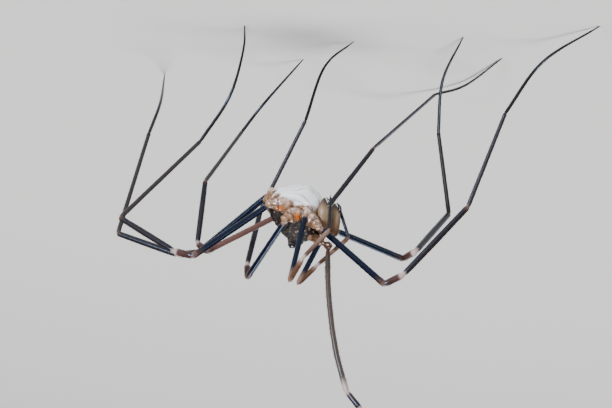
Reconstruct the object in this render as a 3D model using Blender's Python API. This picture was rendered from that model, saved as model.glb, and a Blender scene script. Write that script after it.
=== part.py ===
"""Harvestman, standing on a floor with its second left leg raised as a feeler.

Metres, +Z up, the head toward -X and the left side toward -Y. The body is drawn in its own
axes (forward, left, up; millimetres) and set in place by BODY_FRAME. Each limb is a chain of
stretches that starts at its hip and is aimed by a bearing (degrees from +X toward +Y) and a
rise above level. Neighbouring stretches are cut on the plane that halves the bend between
them, a hair apart, so that they meet face to face.
"""
import math

import bmesh
import bpy
from mathutils import Matrix, Vector

MM = 0.001
GAP = 0.3
WELD = 0.001

# Where the body hangs among its legs
BODY_HEIGHT = 14.4
HEADING = 192
HEAD_UP = 20
LEFT_UP = 18

# Body: one egg, its lower side deeper than its back and drawn back under the head
BODY_MIDDLE = -0.5
BODY_HALF_LENGTH = 2.85
BODY_HALF_WIDTH = 2.15
BACK_HEIGHT = 2.25
BELLY_DEPTH = 2.35
CHIN_SLOPE = 0.35
CHIN_FULLNESS = 0.25
HEAD_NARROWING = 0.12
BACK_NARROWING = 0.12
HEAD_FLATTENING = 0.1
BROW = 0.3
TAIL_SLOPE = 0.7
BELLY_TAIL_SLOPE = 0.4
WAIST = -0.35
HEAD_FRONT = 1.6
RING_SPACING = 0.62
RING_DEPTH = 0.035
BODY_SIDES = 28
BODY_RINGS = 22

# Eye mound and eyes
MOUND_PLACE = (0.4, 0.0, 2.18)
MOUND_RADIUS = 0.5
MOUND_HEIGHT = 0.62
MOUND_SIDES = 14
MOUND_RINGS = 10
EYE_RADIUS = 0.3
EYE_RISE = 0.4
EYE_SIDES = 12
EYE_RINGS = 8

# Hip segments
COXA_WIDTH = 0.58
TROCHANTER_RADIUS = 0.4
COXA_SHORT_OF_HIP = 0.1
STUB_REACH = 0.42
STUB_RADIUS = 0.25

# Room left round the hip segments in the front of the abdomen
ROOM_SHORT_OF_HIP = 0.5
ROOM_ROUND_HIP = 0.7
ROOM_PAST_HIP = 0.8
ROOM_BEHIND = 0.9
ROOM_SIDES = 12
ROOM_RINGS = 9

# Limb half thicknesses at the start and the end of each stretch
LEG_RADII = {
    "femur": (0.25, 0.29),
    "patella": (0.29, 0.3),
    "tibia": (0.28, 0.25),
    "metatarsus": (0.25, 0.25),
    "tarsus": (0.25, 0.15),
}
PALP_RADII = {
    "femur": (0.25, 0.28),
    "patella": (0.27, 0.3),
    "tibia": (0.26, 0.28),
    "tarsus": (0.25, 0.13),
}
JOINT_REACH = 0.35
FOOT_HEIGHT = 0.13
PATH_STEP = 0.9
SMOOTH_ANGLE = 50

# Lengths of femur, patella, tibia and metatarsus for each pair of legs, and of the palps
LEG_LENGTHS = {
    1: (7.2, 1.7, 7.6, 8.2),
    2: (12.3, 1.9, 9.6, 8.4),
    3: (7.9, 1.4, 5.4, 8.4),
    4: (8.2, 1.8, 5.8, 9.4),
}
PALP_LENGTHS = (6.2, 2.2, 3.5, 2.9)

# Each leg: coxa root and hip on the body, then the aim of each stretch. A tarsus is
# (length, bearing, rise) bends and a last (length, bearing) that comes down to the floor.
LEGS = {
    "leg_1_left": {
        "root": (0.5, 1.1, -0.4),
        "hip": (2.35, 1.95, 0.0),
        "coxa_width": 0.6,
        "femur": [(-179, 37)],
        "aims": [(-170, -30), (-166, -50), (-153, -71)],
        "tarsus": [(5.4, -131, -45)],
        "foot": (7.6, -122),
    },
    "leg_2_left": {
        "root": (1.1, 0.8, 1.2),
        "hip": (3.45, 1.1, 1.35),
        "coxa_width": 0.4,
        "femur": [(-146, 84), (-159, 80), (-165, 76), (-169, 70)],
        "aims": [(-168, 47), (-170, 14), (-172, -8)],
        "tarsus": [(5.0, -172, -22), (5.0, -170, -33), (4.5, -168, -42)],
        "foot": None,
    },
    "leg_3_left": {
        "root": (0.4, 0.9, -0.7),
        "hip": (-0.2, 2.7, 0.4),
        "coxa_width": 0.64,
        "femur": [(66, 30)],
        "aims": [(81, -59), (111, -69), (-139, -61)],
        "tarsus": [(5.3, -110, -49)],
        "foot": (3.5, -136),
    },
    "leg_4_left": {
        "root": (0.3, 0.9, -0.9),
        "hip": (-2.0, 2.3, -0.2),
        "coxa_width": 0.68,
        "femur": [(-22, 40)],
        "aims": [(27, -13), (23, -28), (167, -50)],
        "tarsus": [(4.4, -162, -60), (4.1, -117, -64)],
        "foot": (2.3, -88),
    },
    "leg_1_right": {
        "root": (0.9, -0.8, -0.4),
        "hip": (2.6, -2.0, 0.6),
        "femur": [(148, 10)],
        "aims": [(-127, -17), (116, -36), (-74, -44)],
        "tarsus": [(5.8, -88, -35)],
        "foot": (6.2, -102),
    },
    "leg_2_right": {
        "root": (0.7, -0.9, -0.4),
        "hip": (1.1, -2.4, 0.4),
        "femur": [(84, -7)],
        "aims": [(125, -24), (144, -54), (-130, -28)],
        "tarsus": [(4.9, -118, 0)],
        "foot": (9.6, -105),
    },
    "leg_3_right": {
        "root": (0.4, -0.9, -0.6),
        "hip": (-1.4, -2.3, 0.4),
        "femur": [(7, 31)],
        "aims": [(44, -34), (110, -85), (114, -42)],
        "tarsus": [(2.9, -171, -57)],
        "foot": (5.8, -131),
    },
    "leg_4_right": {
        "root": (0.2, -1.0, -1.45),
        "hip": (-3.3, -1.5, -0.35),
        "coxa_width": 0.68,
        "femur": [(31, 37)],
        "aims": [(16, 9), (19, -17), (140, -76)],
        "tarsus": [(4.1, 104, -52)],
        "foot": (6.7, 89),
    },
}

# The two palps, set beside the jaws
PALPS = {
    "palp_left": {
        "root": (0.9, 0.8, -1.0),
        "hip": (1.0, 1.95, -0.75),
        "aims": [(-52, 77), (-134, -55), (150, -50), (77, -80)],
    },
    "palp_right": {
        "root": (0.9, -0.8, -0.7),
        "hip": (2.3, -1.6, -0.2),
        "aims": [(-18, 67), (166, -50), (-169, -45), (8, -68)],
    },
}

# The jaws: where each leaves the head, its bend, and the hand that hangs from it
JAWS = {
    "chelicera_left": {
        "start": (HEAD_FRONT + GAP / 2, 0.5, 0.15),
        "bend": (2.45, 0.6, 0.3),
        "tip": (1.7, 0.6, -2.1),
    },
    "chelicera_right": {
        "start": (HEAD_FRONT + GAP / 2, -0.5, 0.2),
        "bend": (3.0, -0.6, 0.45),
        "tip": (2.3, -0.7, -1.75),
    },
}
JAW_BASE_RADII = (0.36, 0.4)
JAW_HAND_RADII = (0.4, 0.53, 0.5, 0.3, 0.14)
JAW_HAND_MARKS = (0.0, 0.3, 0.55, 0.76, 1.0)
FINGER_ROOT = 0.68
FINGER_ROOT_OUT = 0.1
FINGER_RADII = (0.2, 0.25, 0.19, 0.1)

# Colours: red, green, blue, roughness
COLOURS = {
    "cephalothorax": (0.16, 0.09, 0.07, 0.7),
    "abdomen": (0.62, 0.55, 0.5, 0.7),
    "eye_mound": (0.05, 0.03, 0.03, 0.6),
    "eye": (0.01, 0.01, 0.01, 0.1),
    "base": (0.5, 0.25, 0.15, 0.5),
    "hand": (0.62, 0.32, 0.2, 0.45),
    "finger": (0.02, 0.015, 0.015, 0.3),
    "femur": (0.02, 0.02, 0.06, 0.3),
    "patella": (0.2, 0.06, 0.04, 0.45),
    "tibia": (0.09, 0.05, 0.06, 0.45),
    "metatarsus": (0.22, 0.15, 0.14, 0.55),
    "tarsus": (0.03, 0.02, 0.02, 0.5),
}

BODY_FRAME = (
    Matrix.Translation((0.0, 0.0, BODY_HEIGHT))
    @ Matrix.Rotation(math.radians(HEADING), 4, "Z")
    @ Matrix.Rotation(math.radians(-HEAD_UP), 4, "Y")
    @ Matrix.Rotation(math.radians(LEFT_UP), 4, "X")
)


def clear_scene():
    for thing in list(bpy.data.objects):
        bpy.data.objects.remove(thing)


def new_collection(name):
    collection = bpy.data.collections.new(name)
    bpy.context.scene.collection.children.link(collection)
    return collection


def place(point):
    """A point of the body's own axes, in the standing animal (millimetres)."""
    return BODY_FRAME @ Vector(point)


def aim(bearing, rise):
    turn = math.radians(bearing)
    lift = math.radians(rise)
    level = math.cos(lift)
    return Vector((level * math.cos(turn), level * math.sin(turn), math.sin(lift)))


def link_mesh(name, bm, collection):
    """Make an object from a mesh drawn in millimetres."""
    bmesh.ops.scale(bm, vec=(MM, MM, MM), verts=bm.verts)
    bmesh.ops.recalc_face_normals(bm, faces=bm.faces)
    mesh = bpy.data.meshes.new(name)
    bm.to_mesh(mesh)
    bm.free()
    mesh.shade_smooth()
    mesh.set_sharp_from_angle(angle=math.radians(SMOOTH_ANGLE))
    thing = bpy.data.objects.new(name, mesh)
    collection.objects.link(thing)
    return thing


def give_material(thing, kind):
    red, green, blue, roughness = COLOURS[kind]
    material = bpy.data.materials.new(thing.name)
    material.use_nodes = True
    shader = material.node_tree.nodes["Principled BSDF"]
    shader.inputs["Base Color"].default_value = (red, green, blue, 1.0)
    shader.inputs["Roughness"].default_value = roughness
    shader.inputs["Metallic"].default_value = 0.0
    thing.data.materials.clear()
    thing.data.materials.append(material)


def cut(bm, point, outward):
    """Cut a mesh on a plane, drop what lies outward of it and close the cut."""
    geometry = list(bm.verts) + list(bm.edges) + list(bm.faces)
    bmesh.ops.bisect_plane(bm, geom=geometry, plane_co=point, plane_no=outward, clear_outer=True)
    bmesh.ops.remove_doubles(bm, verts=bm.verts, dist=WELD)
    rim = [edge for edge in bm.edges if edge.is_boundary]
    if rim:
        bmesh.ops.holes_fill(bm, edges=rim, sides=0)


def tube_mesh(points, radii, sides_step=2):
    """A tapered round bar through the points, as a closed mesh in millimetres."""
    widest = max(radii)
    curve = bpy.data.curves.new("bar", "CURVE")
    curve.dimensions = "3D"
    curve.bevel_depth = widest
    curve.bevel_resolution = sides_step
    curve.use_fill_caps = True
    spline = curve.splines.new("POLY")
    spline.points.add(len(points) - 1)
    for knot, point, radius in zip(spline.points, points, radii):
        knot.co = (point[0], point[1], point[2], 1.0)
        knot.radius = radius / widest
    bar = bpy.data.objects.new("bar", curve)
    bpy.context.scene.collection.objects.link(bar)
    view = bpy.context.evaluated_depsgraph_get()
    mesh = bpy.data.meshes.new_from_object(bar.evaluated_get(view))
    bm = bmesh.new()
    bm.from_mesh(mesh)
    bmesh.ops.remove_doubles(bm, verts=bm.verts, dist=WELD)
    bpy.data.objects.remove(bar)
    bpy.data.curves.remove(curve)
    bpy.data.meshes.remove(mesh)
    return bm


def smooth_path(points):
    """Points about PATH_STEP apart on a curve that passes through the given ones."""
    if len(points) == 2:
        return list(points)
    first = points[0] * 2 - points[1]
    last = points[-1] * 2 - points[-2]
    guides = [first] + list(points) + [last]
    path = [points[0].copy()]
    for before, start, end, after in zip(guides, guides[1:], guides[2:], guides[3:]):
        steps = max(2, round((end - start).length / PATH_STEP))
        for index in range(1, steps + 1):
            t = index / steps
            pull = (end - before) * t
            pull += (before * 2 - start * 5 + end * 4 - after) * t ** 2
            pull += (start * 3 - before - end * 3 + after) * t ** 3
            path.append(start + pull / 2)
    return path


def spread(radii, path):
    """A radius for each point of a path, between evenly spaced given ones."""
    lengths = [0.0]
    for start, end in zip(path, path[1:]):
        lengths.append(lengths[-1] + (end - start).length)
    values = []
    for length in lengths:
        position = length / lengths[-1] * (len(radii) - 1)
        index = min(int(position), len(radii) - 2)
        share = position - index
        values.append(radii[index] * (1 - share) + radii[index + 1] * share)
    return values


def bar_between(path, radii, plane_before, plane_after):
    """A stretch of limb, its ends cut on the planes that it shares with its neighbours."""
    path = list(path)
    radii = list(radii)
    if plane_before:
        path.insert(0, path[0] - (path[1] - path[0]).normalized() * JOINT_REACH)
        radii.insert(0, radii[0])
    if plane_after:
        path.append(path[-1] + (path[-1] - path[-2]).normalized() * JOINT_REACH)
        radii.append(radii[-1])
    bm = tube_mesh(path, radii)
    if plane_before:
        point, normal = plane_before
        cut(bm, point + normal * GAP / 2, -normal)
    if plane_after:
        point, normal = plane_after
        cut(bm, point - normal * GAP / 2, normal)
    return bm


def half_plane(path, next_path):
    """The plane that halves the bend where one stretch ends and the next starts."""
    arriving = (path[-1] - path[-2]).normalized()
    leaving = (next_path[1] - next_path[0]).normalized()
    return path[-1], (arriving + leaving).normalized()


def build_chain(prefix, stretches, on_floor, parts):
    """Make the nodes of a limb from its stretches of (name, path, radii)."""
    plane_before = None
    for index, (name, path, radii) in enumerate(stretches):
        plane_after = None
        if index + 1 < len(stretches):
            plane_after = half_plane(path, stretches[index + 1][1])
        bm = bar_between(path, radii, plane_before, plane_after)
        if on_floor and plane_after is None:
            cut(bm, Vector((0.0, 0.0, 0.0)), Vector((0.0, 0.0, -1.0)))
        thing = link_mesh(f"{prefix}_{name}", bm, parts)
        give_material(thing, name)
        plane_before = plane_after


def walk(start, lengths, aims):
    """Joint places along a limb."""
    joints = [start]
    for length, (bearing, rise) in zip(lengths, aims):
        joints.append(joints[-1] + aim(bearing, rise) * length)
    return joints


def tarsus_joints(start, bends, foot):
    """The bends of a tarsus. Its last stretch falls as far as brings the tip to the floor."""
    joints = [start]
    for length, bearing, rise in bends:
        joints.append(joints[-1] + aim(bearing, rise) * length)
    if foot:
        length, bearing = foot
        fall = joints[-1].z - FOOT_HEIGHT
        joints.append(joints[-1] + aim(bearing, -math.degrees(math.asin(fall / length))) * length)
    return joints


def past_hip(path):
    """Start a femur just off the end of its trochanter."""
    forward = (path[1] - path[0]).normalized()
    return [path[0] + forward * (STUB_REACH + GAP)] + list(path[1:])


def leg_stretches(leg, pair):
    femur_length, patella_length, tibia_length, metatarsus_length = LEG_LENGTHS[pair]
    share = femur_length / len(leg["femur"])
    femur = walk(place(leg["hip"]), [share] * len(leg["femur"]), leg["femur"])
    shin = walk(femur[-1], (patella_length, tibia_length, metatarsus_length), leg["aims"])
    tarsus = tarsus_joints(shin[-1], leg["tarsus"], leg["foot"])
    paths = {
        "femur": past_hip(smooth_path(femur)),
        "patella": shin[0:2],
        "tibia": shin[1:3],
        "metatarsus": shin[2:4],
        "tarsus": smooth_path(tarsus),
    }
    return [(name, path, spread(LEG_RADII[name], path)) for name, path in paths.items()]


def grown_bar(path, radii):
    """A bar a gap wider than its node all round, and nearly a gap longer at its start."""
    back = (path[0] - path[1]).normalized() * GAP * ROOM_BEHIND
    return tube_mesh([path[0] + back] + list(path[1:]), [radius + GAP for radius in radii])


def palp_stretches(palp):
    joints = walk(place(palp["hip"]), PALP_LENGTHS, palp["aims"])
    joint_pairs = list(zip(joints, joints[1:]))
    stretches = []
    for name, pair in zip(PALP_RADII, joint_pairs):
        path = past_hip(pair) if name == "femur" else list(pair)
        stretches.append((name, path, spread(PALP_RADII[name], path)))
    return stretches


def body_point(forward, left, up, growth):
    """Send a point of the unit sphere to the body's skin, or to a skin grown outward."""
    swell = 1.0 + max(forward, 0.0) * (BROW * max(up, 0.0) + CHIN_FULLNESS * max(-up, 0.0))
    forward *= swell
    left *= swell
    up *= swell
    along = BODY_MIDDLE + forward * (BODY_HALF_LENGTH + growth)
    narrowing = 1.0 - HEAD_NARROWING * max(forward, 0.0) - BACK_NARROWING * max(up, 0.0)
    height = BACK_HEIGHT if up > 0 else BELLY_DEPTH
    tail_slope = TAIL_SLOPE if up > 0 else BELLY_TAIL_SLOPE
    head_slope = HEAD_FLATTENING if up > 0 else 0.0
    flattening = 1.0 - head_slope * max(forward, 0.0) - tail_slope * max(-forward, 0.0)
    ring = 1.0
    if along < WAIST:
        ring = 1.0 - RING_DEPTH * (0.5 + 0.5 * math.cos(2 * math.pi * along / RING_SPACING))
    across = left * (BODY_HALF_WIDTH + growth) * narrowing * ring
    rise = up * (height + growth) * flattening * ring
    if rise < 0 and forward > 0:
        along += CHIN_SLOPE * rise * forward
    return Vector((along, across, rise))


def body_mesh(growth=0.0):
    """The whole body as one closed skin, with its poles at the head and the tail."""
    bm = bmesh.new()
    bmesh.ops.create_uvsphere(bm, u_segments=BODY_SIDES, v_segments=BODY_RINGS, radius=1.0)
    for vert in bm.verts:
        vert.co = place(body_point(vert.co.z, vert.co.x, vert.co.y, growth))
    return bm


def body_plane(along):
    """A plane across the body at a place along it."""
    outward = (place((1.0, 0.0, 0.0)) - place((0.0, 0.0, 0.0))).normalized()
    return place((along, 0.0, 0.0)), outward


def egg_mesh(start, end, width, segments=10, rings=7):
    """A stretched ball that reaches from one point to another."""
    axis = end - start
    turn = axis.to_track_quat("Z", "Y").to_matrix().to_4x4()
    size = Matrix.Diagonal((width, width, axis.length / 2, 1.0))
    frame = Matrix.Translation((start + end) / 2) @ turn @ size
    bm = bmesh.new()
    bmesh.ops.create_uvsphere(bm, u_segments=segments, v_segments=rings, radius=1.0, matrix=frame)
    return bm


def hip_meshes(root, hip, forward, width):
    """Coxa, trochanter and the stub that a femur faces, as separate closed meshes."""
    inward = (root - hip).normalized()
    coxa = egg_mesh(root, hip - inward * COXA_SHORT_OF_HIP, width)
    ball = bmesh.new()
    bmesh.ops.create_icosphere(ball, subdivisions=2, radius=TROCHANTER_RADIUS, matrix=Matrix.Translation(hip))
    stub = tube_mesh([hip, hip + forward * STUB_REACH], [STUB_RADIUS, STUB_RADIUS])
    return [coxa, ball, stub]


def fuse(name, meshes, parts):
    """Join closed meshes into one body and keep its largest closed surface."""
    things = [link_mesh(f"{name}_piece", bm, parts) for bm in meshes]
    base = things[0]
    others = new_collection("to_join")
    for thing in things[1:]:
        parts.objects.unlink(thing)
        others.objects.link(thing)
    union = base.modifiers.new("union", "BOOLEAN")
    union.operation = "UNION"
    union.operand_type = "COLLECTION"
    union.collection = others
    union.solver = "EXACT"
    view = bpy.context.evaluated_depsgraph_get()
    mesh = bpy.data.meshes.new_from_object(base.evaluated_get(view))
    for thing in things:
        bpy.data.objects.remove(thing)
    bpy.data.collections.remove(others)
    return keep_largest(name, mesh, parts)


def keep_largest(name, mesh, parts):
    """Make a node from the largest closed surface of a mesh drawn in metres."""
    bm = bmesh.new()
    bm.from_mesh(mesh)
    bmesh.ops.scale(bm, vec=(1 / MM, 1 / MM, 1 / MM), verts=bm.verts)
    bmesh.ops.remove_doubles(bm, verts=bm.verts, dist=WELD)
    waiting = set(bm.faces)
    surfaces = []
    while waiting:
        seed = waiting.pop()
        surface = {seed}
        to_check = [seed]
        while to_check:
            face = to_check.pop()
            for edge in face.edges:
                for near in edge.link_faces:
                    if near in waiting:
                        waiting.remove(near)
                        surface.add(near)
                        to_check.append(near)
        surfaces.append(surface)
    largest = max(surfaces, key=len)
    loose = [face for face in bm.faces if face not in largest]
    bmesh.ops.delete(bm, geom=loose, context="FACES")
    return link_mesh(name, bm, parts)


def trim(thing, growns, cutters):
    """Take grown copies of neighbours out of a node, which leaves the gap between them."""
    for index, bm in enumerate(growns):
        cutter = link_mesh(f"{thing.name}_cutter_{index}", bm, cutters)
        cutter.hide_render = True
        cutter.display_type = "WIRE"
        bite = thing.modifiers.new("bite", "BOOLEAN")
        bite.operation = "DIFFERENCE"
        bite.object = cutter
        bite.solver = "EXACT"


def keep_whole(thing, parts):
    """Apply a node's Booleans and keep its largest closed surface."""
    name = thing.name
    view = bpy.context.evaluated_depsgraph_get()
    mesh = bpy.data.meshes.new_from_object(thing.evaluated_get(view))
    bpy.data.objects.remove(thing)
    return keep_largest(name, mesh, parts)


def build_body(parts, cutters):
    """Cephalothorax with its hip segments, and the abdomen behind it."""
    head = body_mesh()
    point, forward = body_plane(WAIST + GAP / 2)
    cut(head, point, -forward)
    point, forward = body_plane(HEAD_FRONT - GAP / 2)
    cut(head, point, forward)
    meshes = [head]
    grown_hips = []
    for limb in list(LEGS.values()) + list(PALPS.values()):
        first_aim = limb["femur"][0] if "femur" in limb else limb["aims"][0]
        root = place(limb["root"])
        hip = place(limb["hip"])
        width = limb.get("coxa_width", COXA_WIDTH)
        meshes += hip_meshes(root, hip, aim(*first_aim), width)
        inward = (root - hip).normalized()
        if limb["hip"][0] < WAIST + COXA_WIDTH:
            start = root + inward * GAP
            end = hip - inward * ROOM_SHORT_OF_HIP
            grown_hips.append(egg_mesh(start, end, width + GAP, ROOM_SIDES, ROOM_RINGS))
            reach = aim(*first_aim) * ROOM_PAST_HIP
            grown_hips.append(egg_mesh(hip + reach, hip - reach, ROOM_ROUND_HIP, ROOM_SIDES, ROOM_RINGS))
    cephalothorax = fuse("cephalothorax", meshes, parts)
    neighbours = [palp_stretches(palp)[0][1:] for palp in PALPS.values()]
    neighbours += [([place(jaw["start"]), place(jaw["bend"])], JAW_BASE_RADII) for jaw in JAWS.values()]
    trim(cephalothorax, [grown_bar(path, radii) for path, radii in neighbours], cutters)
    cephalothorax = keep_whole(cephalothorax, parts)
    give_material(cephalothorax, "cephalothorax")

    tail = body_mesh()
    point, forward = body_plane(WAIST - GAP / 2)
    cut(tail, point, forward)
    abdomen = link_mesh("abdomen", tail, parts)
    trim(abdomen, grown_hips, cutters)
    abdomen = keep_whole(abdomen, parts)
    give_material(abdomen, "abdomen")


def build_eyes(parts, cutters):
    """The mound on the back of the head and an eye on each of its sides."""
    def mound_mesh(growth):
        bottom = Vector(MOUND_PLACE) - Vector((0.0, 0.0, MOUND_HEIGHT + growth))
        top = Vector(MOUND_PLACE) + Vector((0.0, 0.0, MOUND_HEIGHT + growth))
        return egg_mesh(place(bottom), place(top), MOUND_RADIUS + growth, MOUND_SIDES, MOUND_RINGS)

    mound = link_mesh("eye_tubercle", mound_mesh(0.0), parts)
    give_material(mound, "eye_mound")
    trim(mound, [body_mesh(GAP)], cutters)
    for name, side in (("eye_left", 1), ("eye_right", -1)):
        across = side * (MOUND_RADIUS + GAP / 2)
        centre = place(Vector(MOUND_PLACE) + Vector((0.0, across, EYE_RISE)))
        ball = bmesh.new()
        bmesh.ops.create_uvsphere(
            ball,
            u_segments=EYE_SIDES,
            v_segments=EYE_RINGS,
            radius=EYE_RADIUS,
            matrix=Matrix.Translation(centre),
        )
        eye = link_mesh(name, ball, parts)
        give_material(eye, "eye")
        trim(eye, [mound_mesh(GAP)], cutters)


def build_jaws(parts):
    """Each jaw: a base, a hand that ends in a fixed finger, and the finger that closes on it."""
    for prefix, jaw in JAWS.items():
        start = place(jaw["start"])
        bend = place(jaw["bend"])
        tip = place(jaw["tip"])
        hand = [bend.lerp(tip, mark) for mark in JAW_HAND_MARKS]
        stretches = [
            ("base", [start, bend], JAW_BASE_RADII),
            ("hand", hand, JAW_HAND_RADII),
        ]
        build_chain(prefix, stretches, False, parts)
        down = (tip - bend).normalized()
        ahead = (place((1.0, 0.0, 0.0)) - place((0.0, 0.0, 0.0))).normalized()
        ahead = (ahead - down * ahead.dot(down)).normalized()
        clear = JAW_HAND_RADII[-2] + GAP + FINGER_RADII[1]
        root = bend.lerp(tip, FINGER_ROOT) + ahead * (clear + FINGER_ROOT_OUT)
        bow = bend.lerp(tip, (FINGER_ROOT + 1.0) / 2) + ahead * clear
        end = tip + ahead * (JAW_HAND_RADII[-1] + GAP + FINGER_RADII[-1])
        path = smooth_path([root, bow, end])
        finger = link_mesh(f"{prefix}_finger", tube_mesh(path, spread(FINGER_RADII, path)), parts)
        give_material(finger, "finger")


def stand_on_origin(parts):
    """Carry every node so that the box around them all has its bottom centre at the origin."""
    bpy.context.view_layer.update()
    view = bpy.context.evaluated_depsgraph_get()
    low = Vector((math.inf, math.inf, math.inf))
    high = -low
    for thing in parts.objects:
        for vert in thing.evaluated_get(view).data.vertices:
            low = Vector(map(min, low, vert.co))
            high = Vector(map(max, high, vert.co))
    stand = bpy.data.objects.new("harvestman_place", None)
    parts.objects.link(stand)
    stand.location = (-(low.x + high.x) / 2, -(low.y + high.y) / 2, -low.z)
    for thing in list(bpy.data.objects):
        if thing.type == "MESH":
            thing.parent = stand


def main():
    clear_scene()
    parts = new_collection("harvestman")
    cutters = new_collection("cutters")
    build_body(parts, cutters)
    build_eyes(parts, cutters)
    build_jaws(parts)
    for name, leg in LEGS.items():
        pair = int(name.split("_")[1])
        build_chain(name, leg_stretches(leg, pair), leg["foot"] is not None, parts)
    for name, palp in PALPS.items():
        build_chain(name, palp_stretches(palp), False, parts)
    stand_on_origin(parts)


main()
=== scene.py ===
# %% [markdown]
# # A harvestman, life size
# A harvestman is a small round body slung between eight very long legs. This lesson dresses
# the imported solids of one: a single skin for the body, thin jointed limbs with their
# thorns and hairs, two black eyes on a mound, and jaws that end in toothed fingers.
#
# The solids are loaded first. They fix where everything is, so every piece below is drawn
# from the same named sizes as they are, and takes their place.

# %% Load the frame
import math

import bpy
import numpy as np
from mathutils import Matrix, Vector, noise


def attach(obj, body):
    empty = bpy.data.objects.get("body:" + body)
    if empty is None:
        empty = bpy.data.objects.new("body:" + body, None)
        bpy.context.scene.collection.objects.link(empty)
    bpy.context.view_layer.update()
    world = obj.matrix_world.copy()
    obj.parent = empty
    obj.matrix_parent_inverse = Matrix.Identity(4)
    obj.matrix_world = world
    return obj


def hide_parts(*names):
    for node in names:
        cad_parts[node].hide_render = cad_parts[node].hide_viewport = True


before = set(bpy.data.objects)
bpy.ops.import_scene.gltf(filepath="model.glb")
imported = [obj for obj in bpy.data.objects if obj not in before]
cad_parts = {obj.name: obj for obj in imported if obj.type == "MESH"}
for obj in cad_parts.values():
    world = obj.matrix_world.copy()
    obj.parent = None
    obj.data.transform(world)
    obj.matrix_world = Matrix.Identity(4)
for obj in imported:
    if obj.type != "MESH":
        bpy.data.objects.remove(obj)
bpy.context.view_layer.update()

print("solids:", len(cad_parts), "nodes")

# %% [markdown]
# The animal is only a few millimetres thick, and several modelling tools have a smallest
# step of a tenth of a millimetre. So each piece is modelled a thousand times too large, one
# unit to the millimetre, and shrunk to metres when it is finished.
#
# The body has its own axes: forward, left and up. One matrix sets them into the standing
# animal, tipped head up and rolled to one side as it hangs between its legs.

# %% Units and the body's place
MM = 0.001
BODY_PLACE = Vector((10.2385, -2.4936, 14.4))
BODY_HEADING = 192
BODY_HEAD_UP = 20
BODY_LEFT_UP = 18
BODY_TURN = (
    Matrix.Rotation(math.radians(BODY_HEADING), 4, "Z")
    @ Matrix.Rotation(math.radians(-BODY_HEAD_UP), 4, "Y")
    @ Matrix.Rotation(math.radians(BODY_LEFT_UP), 4, "X")
)
BODY_FRAME = Matrix.Translation(BODY_PLACE) @ BODY_TURN


def from_body(point):
    """A point of the body's own axes, in the standing animal, in millimetres."""
    return BODY_FRAME @ Vector(point)


print("body centre at", tuple(round(value * MM, 5) for value in BODY_PLACE), "m")

# %% [markdown]
# ## Camera
# The picture is taken from the animal's left, close and a little from above, with a long
# lens. The real one hangs upside down, so here the animal stands and the camera is turned
# nearly all the way over instead. The lens is set by the distance and by how many pixels
# one millimetre of the animal takes in the picture.

# %% Camera
VIEW_DOWN = math.radians(11)
VIEW_ROLL = math.radians(5)
VIEW_DISTANCE = 320.0
PIXELS_PER_MM = 12.2
PICTURE_WIDTH = 612
SENSOR_WIDTH = 36.0
OFF_CENTRE = (-0.492, -0.738)
SEEN_FROM = 0.01
SEEN_TO = 20.0

look = Vector((0.0, math.cos(VIEW_DOWN), -math.sin(VIEW_DOWN)))
level = Vector((1.0, 0.0, 0.0))
upward = level.cross(look)
across = math.cos(VIEW_ROLL) * level + math.sin(VIEW_ROLL) * upward
upright = -math.sin(VIEW_ROLL) * level + math.cos(VIEW_ROLL) * upward
stand_point = BODY_PLACE - look * VIEW_DISTANCE + across * OFF_CENTRE[0] + upright * OFF_CENTRE[1]
camera_data = bpy.data.cameras.new("camera")
camera_data.sensor_width = SENSOR_WIDTH
camera_data.lens = SENSOR_WIDTH * PIXELS_PER_MM * VIEW_DISTANCE / PICTURE_WIDTH
camera_data.clip_start = SEEN_FROM
camera_data.clip_end = SEEN_TO
camera = bpy.data.objects.new("camera", camera_data)
turned_over = Matrix((-across, -upright, -look)).transposed().to_4x4()
camera.matrix_world = Matrix.Translation(stand_point * MM) @ turned_over
bpy.context.scene.collection.objects.link(camera)
bpy.context.scene.camera = camera
print("lens", round(camera_data.lens, 1), "mm, camera height", round(stand_point.z, 1), "mm")

# %% [markdown]
# ## Floor and light
# The animal stands on a plain pale floor, wide enough to fill every view. The white belly
# faces down, so it is the floor itself that lights it: a broad lamp above brightens the
# floor, and low soft lamps on the camera's side reach under the body. The long lamps are
# also what the shiny legs reflect, as one thin bright line down each leg.

# %% Floor
FLOOR_HALF_WIDTH = 3.0
FLOOR_COLOUR = (0.72, 0.73, 0.7)
FLOOR_ROUGHNESS = 0.9
FLOOR_CUTS = 3


def start_clean():
    """Leave edit mode and select nothing."""
    if bpy.context.object and bpy.context.object.mode != "OBJECT":
        bpy.ops.object.mode_set(mode="OBJECT")
    bpy.ops.object.select_all(action="DESELECT")


def pick(*things):
    """Select these alone, the first of them active."""
    start_clean()
    for thing in things:
        thing.select_set(True)
    bpy.context.view_layer.objects.active = things[0]
    return things[0]


def edit_all():
    """Enter edit mode on the active mesh, all of it selected."""
    bpy.ops.object.mode_set(mode="EDIT")
    bpy.ops.mesh.select_all(action="SELECT")


def plain_material(name, colour, roughness):
    """A new material, its nodes and its shader."""
    material = bpy.data.materials.new(name)
    material.use_nodes = True
    shader = material.node_tree.nodes["Principled BSDF"]
    shader.inputs["Base Color"].default_value = (*colour, 1.0)
    shader.inputs["Roughness"].default_value = roughness
    return material, material.node_tree, shader


start_clean()
bpy.ops.mesh.primitive_plane_add(size=2 * FLOOR_HALF_WIDTH, location=(0, 0, 0))
floor = bpy.context.object
floor.name = "floor"
edit_all()
bpy.ops.mesh.subdivide(number_cuts=FLOOR_CUTS)
bpy.ops.object.mode_set(mode="OBJECT")
floor_material, _, _ = plain_material("pale_floor", FLOOR_COLOUR, FLOOR_ROUGHNESS)
floor.data.materials.append(floor_material)
print("floor", 2 * FLOOR_HALF_WIDTH, "m wide")

# %% Lamps and sky
SKY_COLOUR = (0.8, 0.83, 0.84, 1.0)
SKY_STRENGTH = 0.17
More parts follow.
